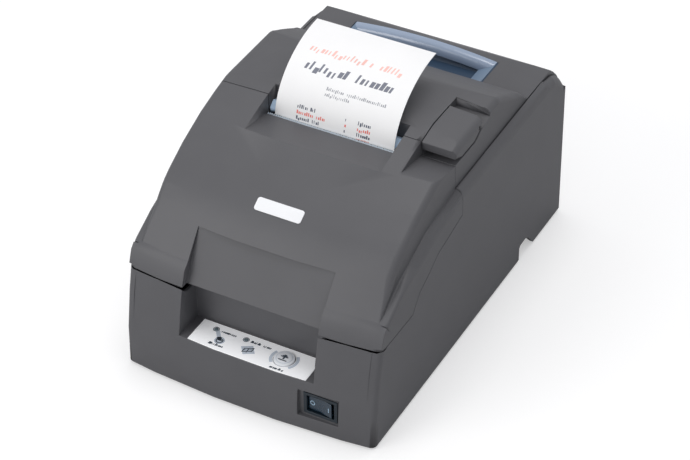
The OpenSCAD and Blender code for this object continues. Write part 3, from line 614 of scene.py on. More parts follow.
def loop_values(items: bpy.types.bpy_prop_collection, name: str, width: int, kind: type) -> np.ndarray:
    """Reads one property of every item of a mesh.

    Args:
        items: the mesh's vertices, edges, corners or polygons.
        name: the property.
        width: how many numbers it has for each item.
        kind: int or float.

    Returns:
        One row for each item.
    """
    values = np.zeros(len(items) * width, kind)
    items.foreach_get(name, values)
    return values.reshape(-1, width)


def sharp_edges(mesh: bpy.types.Mesh, shortest: float) -> np.ndarray:
    """Which edges of a closed mesh are rounded: those where its faces turn clearly, but not back.

    Args:
        mesh: the mesh.
        shortest: edges shorter than this are left as they are.

    Returns:
        1 for each edge that is rounded and 0 for each other.
    """
    least, most = 28, 150
    points = loop_values(mesh.vertices, "co", 3, float)
    ends = points[loop_values(mesh.edges, "vertices", 2, int)]
    length = np.linalg.norm(ends[:, 1] - ends[:, 0], axis=1)
    sizes = loop_values(mesh.polygons, "loop_total", 1, int)[:, 0]
    owner = np.repeat(np.arange(len(sizes)), sizes)
    order = np.argsort(loop_values(mesh.loops, "edge_index", 1, int)[:, 0], kind="stable")
    sides = loop_values(mesh.polygons, "normal", 3, float)[owner[order].reshape(-1, 2)]
    angle = np.degrees(np.arccos(np.clip((sides[:, 0] * sides[:, 1]).sum(1), -1, 1)))
    return np.where((length > shortest) & (angle > least) & (angle < most), 1.0, 0.0)


def shown(name: str, data: bpy.types.ID) -> bpy.types.Object:
    """A new object in the scene.

    Args:
        name: its name.
        data: its mesh, light or camera.

    Returns:
        The object.
    """
    item = bpy.data.objects.new(name, data)
    bpy.context.scene.collection.objects.link(item)
    return item


class Maker:
    """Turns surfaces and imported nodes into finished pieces.

    Attributes:
        palette: the materials.
        frame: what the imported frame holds.
        home: the body that each node rides on.
        slots: the material slot of each node.
        done: the nodes that another piece stands for.
        MERGE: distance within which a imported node's points are one, in metres.
        FLAT: faces within this angle of each other are one, in degrees.
        SHORTEST: edges shorter than this stay sharp, in millimetres.
        SEGMENTS: number of flats in a rounded edge.
        WEIGHTING: how strongly the larger faces set the shading.
        SEAM: distance within which a new surface's points are one, in metres.
        SLIVER: edges shorter than this are taken out of it, in metres.
    """

    MERGE = 2e-6
    FLAT = 0.4
    SHORTEST = 3.0
    SEGMENTS = 3
    WEIGHTING = 60
    SEAM = 1e-7
    SLIVER = 1e-8

    def __init__(self, palette: Palette, frame: dict) -> None:
        """Reads from the frame's record what each node rides on and is made of."""
        self.palette = palette
        self.frame = frame
        groups = frame["record"]["behaviour"]["bodies"]
        self.home = {node: body for body, nodes in groups.items() for node in nodes}
        self.slots = {s["node"]: s["material_slot"] for s in frame["record"]["subparts"]}
        self.done: set[str] = set()

    def piece(self, name: str, surface: Surface, finish: str, body: str,
              smooth: float | None = None) -> bpy.types.Object:
        """Makes an object of a surface.

        Args:
            name: the object's name.
            surface: points and faces, in millimetres.
            finish: name of its finish.
            body: the body it rides on.
            smooth: edges flatter than this angle shade smooth; none means flat shading.

        Returns:
            The object.
        """
        mesh = self._closed(name, surface)
        mesh.materials.append(self.palette[finish])
        if smooth is not None:
            mesh.shade_smooth()
            mesh.set_sharp_from_angle(angle=math.radians(smooth))
        item = shown(name, mesh)
        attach(item, body)
        LOG.info("made %s: %d faces on %s", name, len(mesh.polygons), body)
        return item

    def _closed(self, name: str, surface: Surface) -> bpy.types.Mesh:
        """A surface's mesh, with its seams merged and its faces outwards.

        Args:
            name: the mesh's name.
            surface: points and faces, in millimetres.

        Returns:
            The mesh, in metres.
        """
        mesh = bpy.data.meshes.new(name)
        mesh.from_pydata(surface.points * MM, [], surface.faces.tolist())
        work = bmesh.new()
        work.from_mesh(mesh)
        bmesh.ops.remove_doubles(work, verts=work.verts, dist=self.SEAM)
        bmesh.ops.dissolve_degenerate(work, edges=work.edges, dist=self.SLIVER)
        bmesh.ops.recalc_face_normals(work, faces=work.faces)
        work.to_mesh(mesh)
        work.free()
        return mesh

    def _cut(self, mesh: bpy.types.Mesh, cutters: list[Surface]) -> bpy.types.Mesh:
        """Takes solids out of a mesh.

        Args:
            mesh: a closed mesh.
            cutters: the solids.

        Returns:
            A new mesh of what is left.
        """
        items = [shown("blank", mesh)]
        for cutter in cutters:
            items.append(shown("cutter", self._closed("cutter", cutter)))
            change = items[0].modifiers.new("round", "BOOLEAN")
            change.object = items[-1]
            change.solver = "EXACT"
        result = items[0].evaluated_get(bpy.context.evaluated_depsgraph_get())
        cut = bpy.data.meshes.new_from_object(result)
        for item in items:
            bpy.data.objects.remove(item)
        return cut

    def dressed(self, node: str, finish: str, width: float,
                cutters: list[Surface] | None = None) -> bpy.types.Object:
        """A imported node's own form with its facets merged and its edges rounded.

        Args:
            node: the node's name.
            finish: name of its finish.
            width: rounding of its edges, in millimetres.
            cutters: closed solids taken out of it.

        Returns:
            The object, which stands for the node.
        """
        work = bmesh.new()
        work.from_mesh(self.frame["nodes"][node].data)
        bmesh.ops.remove_doubles(work, verts=work.verts, dist=self.MERGE)
        flat = math.radians(self.FLAT)
        bmesh.ops.dissolve_limit(work, angle_limit=flat, verts=work.verts, edges=work.edges)
        mesh = bpy.data.meshes.new(node + "_skin")
        work.to_mesh(mesh)
        work.free()
        if cutters:
            mesh = self._cut(mesh, cutters)
        mesh.materials.clear()
        mesh.materials.append(self.palette[finish])
        mesh.shade_smooth()
        weights = sharp_edges(mesh, self.SHORTEST * MM)
        mesh.attributes.new("bevel_weight_edge", "FLOAT", "EDGE").data.foreach_set("value", weights)
        item = shown(node + "_skin", mesh)
        bevel = item.modifiers.new("edges", "BEVEL")
        bevel.width = width * MM
        bevel.segments = self.SEGMENTS
        bevel.limit_method = "WEIGHT"
        bevel.use_clamp_overlap = False
        shading = item.modifiers.new("shading", "WEIGHTED_NORMAL")
        shading.mode = "FACE_AREA"
        shading.weight = self.WEIGHTING
        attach(item, self.home[node])
        LOG.info("dressed %s: %d faces", node, len(mesh.polygons))
        return self.stands_for(item, node)

    def stands_for(self, item: bpy.types.Object, node: str) -> bpy.types.Object:
        """Lets a piece stand for a node, which is hidden.

        Args:
            item: the piece.
            node: the node it replaces.

        Returns:
            The same piece.
        """
        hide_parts(node)
        self.slots[node]
        self.done.add(node)
        return item

    def paint_rest(self) -> None:
        """Gives every node that is still shown as packed the material of its slot."""
        for node, item in self.frame["nodes"].items():
            if node in self.done:
                continue
            item.data.materials.clear()
            item.data.materials.append(self.palette[self.slots[node]])
            LOG.info("painted %s", node)


# ---------------------------------------------------------------- sub-assemblies


@dataclass
class Casing:
    """The three shells, the lever and what is set into them.

    Attributes:
        shell_edge: rounding of the shells' edges.
        badge: width and height of the blank plate on the front cover.
        badge_corner: radius of the plate's corners.
        badge_place: y and z of the plate's middle.
        badge_tilt: slope of the plate, in degrees.
        badge_layers: how far the plate's outline is drawn in, and how high, at each layer.
        trough_half: half length of the trough in the window.
        trough_rear: y of its rear edge and foot of the roll along it.
        roll_size: depth and height of that roll.
        roll_flat: width of the flat behind its crest.
        ramp_run: length of the ramp at each end of the trough.
        ramp_front: y of the ramps' front.
        ramp_heights: height of the ramps' underside and of their inner end.
        deck_bow: radius of the deck's crown.
        comb_half: half length of the teeth at the exit.
        comb_pitch: distance from tooth to tooth.
        comb_front: y of the teeth's face.
        comb_thick: thickness of the teeth.
        comb_heights: height of the comb's foot, of the gullets and of the tips.
        dome_half: half width of the dome.
        dome_edge: y and z of the dome's edge along its sides.
        dome_rounds: y of places along that edge, and its rounding there.
        dome_rise: y of places along it, and how much the dome climbs inwards there.
        case_half: half width of the casing.
        rim_edge: y and z of the casing's rim, from the ledge's end to the back.
        rim_round: rounding of that rim and of the ledges.
        rim_reach: how much further the rim's rounding reaches in than down.
        lip_edge: y and z of the stretch of the ledges that has a tighter rounding.
        lip_rounds: y of places along that stretch, and its rounding there.
    """

    shell_edge: float = 0.3
    badge: Pair = (29.2, 7.8)
    badge_corner: float = 1.6
    badge_place: Pair = (-77.9, 110.4)
    badge_tilt: float = 31.5
    badge_layers: Line = ((0.0, -0.25), (0.0, 0.38), (0.06, 0.46), (0.2, 0.5))
    trough_half: float = 46.6
    trough_rear: Pair = (98.35, 112.8)
    roll_size: Pair = (4.2, 5.7)
    roll_flat: float = 2.0
    ramp_run: float = 9.0
    ramp_front: float = 74.6
    ramp_heights: Pair = (109.4, 113.2)
    deck_bow: float = 350.0
    comb_half: float = 42.6
    comb_pitch: float = 1.3
    comb_front: float = -17.05
    comb_thick: float = 0.35
    comb_heights: tuple[float, float, float] = (121.2, 122.7, 123.7)
    dome_half: float = 75.0
    dome_edge: Line = (
        (-103.2, 78.6), (-97.9, 85.5), (-86.1, 100.0), (-79.6, 106.3), (-73.6, 110.5), (-57.4, 119.2),
        (-37.3, 127.2), (-21.2, 131.6), (-8.0, 134.4), (0.0, 134.5), (41.9, 134.5), (46.0, 132.6),
        (53.0, 129.2), (59.5, 125.8), (66.0, 122.2), (71.3, 119.2), (76.0, 114.6), (79.5, 110.5))
    dome_rounds: Line = ((-103.2, 0.3), (-89.2, 4.0), (66.0, 4.0), (79.5, 1.2))
    dome_rise: Line = ((-100.0, 0.12), (-60.0, 0.06), (-10.0, 0.1), (40.0, 0.1), (46.0, 0.0))
    case_half: float = 80.0
    rim_edge: Line = ((99.0, 110.5), (101.5, 110.3), (110.0, 109.0), (116.0, 105.8), (121.0, 101.5),
                      (124.0, 97.5), (126.0, 94.8))
    rim_round: float = 6.5
    rim_reach: float = 1.3
    lip_edge: Line = ((-104.0, 78.3), (-80.2, 91.4), (-66.0, 96.7))
    lip_rounds: Line = ((-104.0, 2.6), (-102.5, 1.8), (-86.0, 2.2), (-66.0, 6.435))

    def build(self, maker: Maker) -> None:
        """Makes the casing's pieces.

        Args:
            maker: makes the pieces.
        """
        dome = self._dome_cutters()
        maker.dressed("lower_case", "casing", self.shell_edge, self._rim_cutters())
        maker.dressed("front_cover", "casing", self.shell_edge, dome)
        maker.dressed("roll_cover", "casing", self.shell_edge, dome)
        maker.dressed("cover_lever", "casing", 0.6, dome[1:])
        maker.dressed("roll_window", "smoked", 0.4)
        # the tear bar's pale colour is a painted reflection
        maker.dressed("tear_bar", "blade_steel", 0.1)
        maker.dressed("rubber_feet", "rubber_black", 0.3)
        self._lips(maker)
        self._badge(maker)
        self._window(maker)
        self._comb(maker)

    def _lips(self, maker: Maker) -> None:
        """Makes the tighter roundings at the front ends of the ledges.

        Args:
            maker: makes the pieces.
        """
        line = resampled(self.lip_edge, 40)
        radius = along_line(line, self.lip_rounds)
        for name, side in (("left", -1), ("right", 1)):
            lip = edge_lip(side * self.case_half, line, radius, self.rim_round)
            maker.piece(f"ledge_lip_{name}", lip, "casing", maker.home["front_cover"], 40)

    def _dome_cutters(self) -> list[Surface]:
        """The solids that round the dome's edges, fading out at both ends.

        Returns:
            The left one and the right one.
        """
        line = resampled(self.dome_edge, 90)
        size, rise = along_line(line, self.dome_rounds), along_line(line, self.dome_rise)
        return [edge_cutter(side * self.dome_half, line, size, size, rise) for side in (-1, 1)]

    def _rim_cutters(self) -> list[Surface]:
        """The solids that round the casing's rear corners, past the end of the ledge.

        Returns:
            The left one and the right one.
        """
        line = resampled(self.rim_edge, 26)
        fall = np.full(len(line), self.rim_round)
        return [edge_cutter(side * self.case_half, line, self.rim_reach * fall, fall, 0 * fall)
                for side in (-1, 1)]

    def _badge(self, maker: Maker) -> None:
        """Makes the blank plate: its rounded outline at rising heights, drawn in near the top.

        Args:
            maker: makes the piece.
        """
        layers = np.array(self.badge_layers)[:, None]
        turn = np.radians(np.linspace(0, 360, 64, endpoint=False))
        quarter = np.stack([np.cos(turn), np.sin(turn)], -1)
        quarter = np.vstack([quarter, quarter[:1]])
        core = np.sign(quarter) * (np.array(self.badge) / 2 - self.badge_corner)
        rings = core + quarter * (self.badge_corner - layers[..., :1])
        lifts = np.broadcast_to(layers[..., 1:], (*rings.shape[:2], 1))
        low, high = layers[0, 0, 1], layers[-1, 0, 1]
        plate = lofted(np.concatenate([rings, lifts], -1), np.array([0, 0, low]), np.array([0, 0, high]))
        tilt = math.radians(self.badge_tilt)
        across, along, up = plate.points.T
        y = self.badge_place[0] + along * math.cos(tilt) - up * math.sin(tilt)
        z = self.badge_place[1] + along * math.sin(tilt) + up * math.cos(tilt)
        plate.points = np.stack([across, y, z], -1)
        item = maker.piece("badge_plate", plate, "badge_plate", maker.home["badge"], 50)
        maker.stands_for(item, "badge")

    def _window(self, maker: Maker) -> None:
        """Makes the roll along the trough's rear edge, whose pale colour is a painted highlight, and the
        ramp at each of its ends, whose lighter colour is painted light.

        The roll's section is a quarter of an ellipse with a flat behind its crest. A ramp's is a
        wedge that runs up to the end of the trough.

        Args:
            maker: makes the pieces.
        """
        body = maker.home["roll_window"]
        half = self.trough_half
        rear, foot = self.trough_rear
        depth, rise = self.roll_size
        top = foot + rise
        turn = np.radians(np.linspace(0, 90, 9))
        arc = np.stack([rear - self.roll_flat - depth * np.cos(turn), foot + rise * np.sin(turn)], -1)
        roll = prism(np.vstack([arc, [[rear, top], [rear, foot]]]), -half, half, 32)
        # painted highlight along the trough's rear edge
        maker.piece("window_roll", self._crowned(roll), "smoked_painted_highlight", body, 50)
        low, inner = self.ramp_heights
        start = half - self.ramp_run
        for name, side in (("left", -1), ("right", 1)):
            section = np.array([[start, low], [start, inner], [half, top], [half, low]]) * [side, 1]
            ramp = prism(section, self.ramp_front, rear).swapped()
            # painted light on the trough's ends
            maker.piece(f"window_ramp_{name}", self._crowned(ramp), "smoked_painted_light", body, 30)

    def _crowned(self, surface: Surface) -> Surface:
        """Lowers a piece towards its ends as the deck's crown does, by x squared over twice its radius.

        Args:
            surface: the piece.

        Returns:
            The bent piece.
        """
        points = surface.points.copy()
        points[:, 2] -= points[:, 0] ** 2 / (2 * self.deck_bow)
        return Surface(points, surface.faces)

    def _comb(self, maker: Maker) -> None:
        """Makes the fine teeth along the front lip of the exit, whose near-white colour is a painted
        highlight.

        The section is a thin upright box whose top rises and falls along x, once for each tooth.

        Args:
            maker: makes the piece.
        """
        count = int(2 * self.comb_half / self.comb_pitch)
        station = np.arange(2 * count + 1)
        x = (station - count) * self.comb_pitch / 2
        foot, gullet, tip = self.comb_heights
        top = np.where(station % 2, tip, gullet)
        bottom = np.full(len(x), foot)
        front, back = self.comb_front, self.comb_front + self.comb_thick
        y = np.broadcast_to([front, front, back, back, front], (len(x), 5))
        z = np.stack([bottom, top, top, bottom, bottom], -1)
        loops = np.stack([np.broadcast_to(x[:, None], y.shape), y, z], -1)
        middle = loops[[0, -1], :4].mean(1)
        comb = lofted(loops, middle[0], middle[1])
        maker.piece("exit_comb", comb, "comb_painted_highlight", maker.home["front_cover"])


@dataclass
class ControlPanel:
    """The label in the recess, its lamps, the feed button and the signs on them.

    Attributes:
        level: height of the label's top.
        ink: underside and top of what is printed on it, above that level.
        pale_drop: how much lower the pale patches lie than the signs.
        lamps: x and y of the lamps.
        lamp_radius: radius of a lamp's lens.
        lamp_wall: foot and brim of its short wall, from the label's top.
        lamp_rise: height of its dome.
        lamp_ring: inner and outer radius of the printed ring round a lamp.
        power: x and y of the power sign.
        power_ring: inner and outer radius of its arc.
        power_arc: where that arc starts and how far it goes, in degrees.
        power_bar: rectangle of its bar, about its middle.
        power_patch: radius of the pale patch behind it.
        stem_half: half width of the pale stem from that patch to the left lamp.
        stem_lean: how far the stem leans to that lamp, as a share of the way.
        sheet: x and y of the paper sign.
        sheet_line: thickness of its lines.
        sheet_slant: how much its pages climb to the right.
        diamond_half: half size of the pale diamond behind it.
        arcs: start and sweep of the pale arcs beside the button, in degrees.
        arc_radii: their inner and outer radius.
        words: left and right end and foot of each row of marks where a word stands.
        word_height: height of those marks.
        word_weight: thickness of their strokes, as a share of the height.
        word_lean: how far their tops are moved to the right.
        button: x and y of the feed button.
        button_radius: radius of the button's cap.
        button_top: height of the cap's rim.
        skirt: underside and top of the cap's skirt.
        skirt_out: how far the skirt stands out.
        feed_ink: underside and top of the button's sign, above its rim.
        feed_ring: inner and outer radius of the pale ring on the button.
        feed_ring_drop: how much lower that ring lies than the sign.
    """

    level: float = 35.4
    ink: Pair = (-0.02, 0.05)
    pale_drop: float = 0.03
    lamps: Line = ((-27.2, -105.9), (-7.8, -105.9))
    lamp_radius: float = 1.5
    lamp_wall: Pair = (-0.4, -0.2)
    lamp_rise: float = 0.55
    lamp_ring: Pair = (1.55, 1.95)
    power: Pair = (-20.7, -113.4)
    power_ring: Pair = (1.55, 2.25)
    power_arc: Pair = (118, 304)
    power_bar: tuple[float, float, float, float] = (-0.33, -0.2, 0.33, 2.7)
    power_patch: float = 3.1
    stem_half: float = 1.5
    stem_lean: float = 0.86
    sheet: Pair = (-2.6, -113.0)
    sheet_line: float = 0.62
    sheet_slant: float = 0.35
    diamond_half: float = 3.4
    arcs: Line = ((150, 75), (-45, 85))
    arc_radii: Pair = (6.8, 8.6)
    words: tuple[tuple[float, float, float], ...] = (
        (-23.5, -14.2, -106.9), (-4.6, 2.2, -106.9), (3.4, 8.6, -106.9), (-25.6, -15.6, -118.3),
        (14.6, 23.4, -119.9))
    word_height: float = 1.9
    word_weight: float = 0.26
    word_lean: float = 0.25
    button: Pair = (19.1, -110.2)
    button_radius: float = 6.1
    button_top: float = 36.4
    skirt: Pair = (31.5, 32.3)
    skirt_out: float = 1.3
    feed_ink: Pair = (0.24, 0.34)
    feed_ring: Pair = (4.5, 4.75)
    feed_ring_drop: float = 0.16

    def build(self, maker: Maker) -> None:
        """Makes the panel's pieces.

        Args:
            maker: makes the pieces.
        """
        # the label's glow is painted light
        maker.dressed("panel_overlay", "panel_label", 0.1)
        body = maker.home["panel_overlay"]
        low, high = self.level + self.ink[0], self.level + self.ink[1]
        maker.piece("panel_patches", self._patches(low, high - self.pale_drop), "sign_pale", body)
        maker.piece("panel_signs", self._signs(low, high), "sign_dark", body)
        maker.piece("panel_words", self._words(low, high), "sign_dark", body)
        for i, lamp in enumerate(self.lamps):
            maker.piece(f"lamp_lens_{i}", self._lens(lamp), "led_green", body, smooth=60)
        self._button(maker)

    def _patches(self, low: float, high: float) -> Surface:
        """Pale shapes printed behind the signs.

        Args:
            low: height of their underside.
            high: height of their top.

        Returns:
            All of them.
        """
        power, lamp = self.power, self.lamps[0]
        stem = plates([-self.stem_half, 0.0, self.stem_half, lamp[1] - power[1]], low, high)
        stem.points += [*power, 0]
        above = stem.points[:, 1] > power[1] + 1
        stem.points[:, 0] += above * (lamp[0] - power[0]) * self.stem_lean
        half = self.diamond_half
        diamond = plates([-half, -half, half, half], low, high)
        diamond.points[:, :2] = diamond.points[:, :2] @ [[0.87, 0.5], [-0.6, 0.8]] + self.sheet
        arcs = [ring(self.button, self.arc_radii, (low, high), *arc, 20) for arc in self.arcs]
        return merged([ring(power, (0.0, self.power_patch), (low, high)), stem, diamond, *arcs])

    def _signs(self, low: float, high: float) -> Surface:
        """Dark signs: an arc with a bar, a folded sheet, and a ring round each lamp.

        Args:
            low: height of their underside.
            high: height of their top.

        Returns:
            All of them.
        """
        arc = ring(self.power, self.power_ring, (low, high), *self.power_arc)
        bar = plates(self.power_bar, low, high)
        bar.points += [*self.power, 0]
        rings = [ring(lamp, self.lamp_ring, (low, high)) for lamp in self.lamps]
        # two pages, each a foot, a head and an outer side, as lowest x and y and highest x and y
        t = self.sheet_line
        left_page = [[-2.6, -2.0, 0.0, t - 2.0], [-2.6, 1.6 - t, 0.0, 1.6], [-2.6, -2.0, t - 2.6, 1.6]]
        right_page = [[0.0, -1.4, 2.7, t - 1.4], [0.0, 2.0 - t, 2.7, 2.0], [2.7 - t, -1.4, 2.7, 2.0]]
        fold = [[-t / 2, -2.2, t / 2, 1.8]]
        dashes = [[-1.9, -0.4, -0.7, 0.0], [0.7, 0.2, 1.9, 0.6]]
        pages = plates(left_page + fold + right_page + dashes, low, high)
        pages.points[:, 1] += self.sheet_slant * pages.points[:, 0]
        pages.points += [*self.sheet, 0]
        return merged([arc, bar, *rings, pages])

    def _words(self, low: float, high: float) -> Surface:
        """Rows of marks where words stand.

        Args:
            low: height of their underside.
            high: height of their top.

        Returns:
            All the marks.
        """
        marks = Marks(seed=4)
        words = merged([marks.row(*place, self.word_height, self.word_weight, self.word_lean)
                        for place in self.words])
        words.points[:, 2] = low + (high - low) * words.points[:, 2]
        return words

    def _lens(self, centre: Pair) -> Surface:
        """A lamp's lens, a low dome on a short wall.

        Args:
            centre: x and y of its middle.

        Returns:
            The closed lens.
        """
        foot, brim = self.level + self.lamp_wall[0], self.level + self.lamp_wall[1]
        turn = np.radians(np.linspace(0, 90, 7))
        top = np.stack([self.lamp_radius * np.cos(turn), brim + self.lamp_rise * np.sin(turn)], -1)
        return spun(np.vstack([[[0, foot], [self.lamp_radius, foot]], top]), centre)

    def _button(self, maker: Maker) -> None:
        """Makes the feed button's cap with its skirt, rounded rim and dish, and the sign on it.

        Args:
            maker: makes the pieces.
        """
        body = maker.home["feed_button"]
        r, top = self.button_radius, self.button_top
        out, (foot, brim) = r + self.skirt_out, self.skirt
        profile = np.array([
            [0, foot], [out, foot], [out, brim], [r, brim], [r, top - 0.5], [r - 0.15, top - 0.15],
            [r - 0.5, top], [r - 1.1, top - 0.05], [r - 1.7, top + 0.2], [2.0, top + 0.3], [0, top + 0.3]])
        cap = maker.piece("feed_cap", spun(profile, self.button), "button_grey", body, smooth=40)
        maker.stands_for(cap, "feed_button")
        low, high = top + self.feed_ink[0], top + self.feed_ink[1]
        # an upward arrow over a bar
        sign = plates([[-2.6, -2.7, 2.6, -2.0], [-0.55, -1.5, 0.55, 0.1], [-2.3, 0.1, 2.3, 0.82],
                       [-1.6, 0.8, 1.6, 1.52], [-0.8, 1.5, 0.8, 2.3]], low, high)
        sign.points += [*self.button, 0]
        maker.piece("feed_sign", sign, "sign_dark", body)
        levels = (low - self.feed_ring_drop, high - self.feed_ring_drop)
        maker.piece("feed_ring", ring(self.button, self.feed_ring, levels), "sign_pale", body)


class Marks:
    """Rows of small strokes that stand for print, none of them a letter.

    Attributes:
        PITCH: distance from stroke to stroke, as a share of the height.
        GAPS: share of the places left empty.
        SMALL: height of the low strokes, as a share of the height.
        TALL_SHARE: share of the strokes that are tall.
        DEEP: how far a deep stroke goes below the row's foot.
        DEEP_SHARE: share of the strokes that are deep.
        WIDTHS: thinnest and thickest stroke, as shares of the weight.
        SPACE: space between two words, in the unit of their lengths.
        LONGEST: strokes are cut into pieces no longer than this, in millimetres.
    """

    PITCH = 0.56
    GAPS = 0.0
    SMALL = 0.68
    TALL_SHARE = 0.3
    DEEP = 0.28
    DEEP_SHARE = 0.12
    WIDTHS = (0.8, 2.2)
    SPACE = 0.8
    LONGEST = 0.8

    def __init__(self, seed: int) -> None:
        """Starts the row of random numbers that picks the strokes."""
        self.random = np.random.default_rng(seed)

    def row(self, start: float, end: float, base: float, height: float, weight: float,
            lean: float) -> Surface:
        """One row of strokes.

        Args:
            start: left end of the row.
            end: right end.
            base: foot of the row, across it.
            height: height of the strokes.
            weight: thickness of a stroke, as a share of the height.
            lean: how far the strokes' tops are moved to the right.

        Returns:
            Boxes with x along the row, y across it and z from 0 to 1.
        """
        pitch = height * self.PITCH
        cells = max(int((end - start) / pitch + 0.3), 1)
        keep = self.random.random(cells) >= self.GAPS
        tall = height * np.where(self.random.random(cells) < self.TALL_SHARE, 1.0, self.SMALL)
        wide = height * weight * self.random.uniform(*self.WIDTHS, cells)
        foot = base - height * np.where(self.random.random(cells) < self.DEEP_SHARE, self.DEEP, 0.0)
        low = np.stack([start + pitch * np.arange(cells), foot, np.zeros(cells)], -1)[keep]
        high = low + np.stack([wide, tall, np.ones(cells)], -1)[keep]
        marks = boxes(*self._short(low, high))
        marks.points[:, 0] += lean * (marks.points[:, 1] - base)
        return marks

    def words(self, row: PrintRow) -> Surface:
        """A row parted into words.

        Args:
            row: where it stands and how its words follow each other.

        Returns:
            Boxes as a row gives them.
        """
        spaces = self.SPACE * np.arange(len(row.lengths))
        share = (row.end - row.start) / (sum(row.lengths) + spaces[-1])
        ends = row.start + share * (np.cumsum(row.lengths) + spaces)
        starts = ends - share * np.array(row.lengths)
        return merged([self.row(start, end, row.base, row.height, row.weight, row.lean)
                       for start, end in zip(starts, ends)])

    def _short(self, low: np.ndarray, high: np.ndarray) -> tuple[np.ndarray, np.ndarray]:
        """Cuts strokes across, so that each piece lies close to a curved sheet.

        Args:
            low: the strokes' lowest corners.
            high: their highest corners.

        Returns:
            The lowest and the highest corners of the pieces.
        """
        parts = np.maximum(np.ceil((high[:, 1] - low[:, 1]) / self.LONGEST).astype(int), 1)
        stroke = np.repeat(np.arange(len(low)), parts)
        order = np.arange(len(stroke)) - np.repeat(np.cumsum(parts) - parts, parts)
        step = ((high - low)[:, 1] / parts)[stroke]
        short_low, short_high = low[stroke], high[stroke]
        short_low[:, 1] += step * order
        short_high[:, 1] = short_low[:, 1] + step
        return short_low, short_high


@dataclass
class PowerSwitch:
    """The rocker switch at the right of the front.

    Attributes:
        centre: x and z of the switch.
        axis_y: y of the rocker's axis.
        tilt: the rocker's lean at rest, in degrees.
        face: y of the rocker's face from its axis, at its middle.
        fall: how much that face falls away for each millimetre to the side.
        bar_place: x of the bar's middle.
        bar_half: half width and half height of the bar.
        circle_place: x of the circle's middle.
        circle: inner and outer radius of the circle.
        ink_half: half thickness of the signs.
        stand_off: how far their middle lies behind the face.
    """

    centre: Pair = (47.3, 19.7)
    axis_y: float = -116.5
    tilt: float = 8.0
    face: float = -3.25
    fall: float = 0.35 / 7.7
    bar_place: float = 5.6
    bar_half: Pair = (0.22, 1.5)
    circle_place: float = -5.2
    circle: Pair = (1.15, 1.55)
    ink_half: float = 0.05
    stand_off: float = 0.02

    def build(self, maker: Maker) -> None:
        """Makes the switch's pieces.

        Args:
            maker: makes the pieces.
        """
        maker.dressed("switch_body", "bezel", 0.3)
        maker.dressed("power_rocker", "rocker_dark", 0.25)
        wide, tall = self.bar_half
        levels = (-self.ink_half, self.ink_half)
        bar = plates([-wide, -tall, wide, tall], *levels)
        bar.points += [self.bar_place, 0, 0]
        circle = ring((0, 0), self.circle, levels)
        circle.points += [self.circle_place, 0, 0]
        signs = merged([bar, circle])
        x, z, y = signs.points.T
        y = y + self.face - self.fall * np.abs(x) + self.stand_off
        turn = math.radians(-self.tilt)
        signs.points = np.stack([x * math.cos(turn) - y * math.sin(turn) + self.centre[0],
                                 x * math.sin(turn) + y * math.cos(turn) + self.axis_y,
                                 z + self.centre[1]], -1)
        maker.piece("rocker_signs", signs, "mark_white", maker.home["power_rocker"])


@dataclass(frozen=True)
class PrintRow:
    """One row of print on the receipt.

    Attributes:
        piece: the piece it is part of.
        start: left end of the row.
        end: right end.
        base: foot of the row, as a distance from the exit.
        height: height of its marks.
        weight: thickness of a stroke, as a share of the height.
        lengths: relative lengths of its words.
        lean: how far the strokes' tops are moved to the right.
    """

    piece: str
    start: float
    end: float
    base: float
    height: float
    weight: float
    lengths: tuple[int, ...]
    lean: float = 0.0


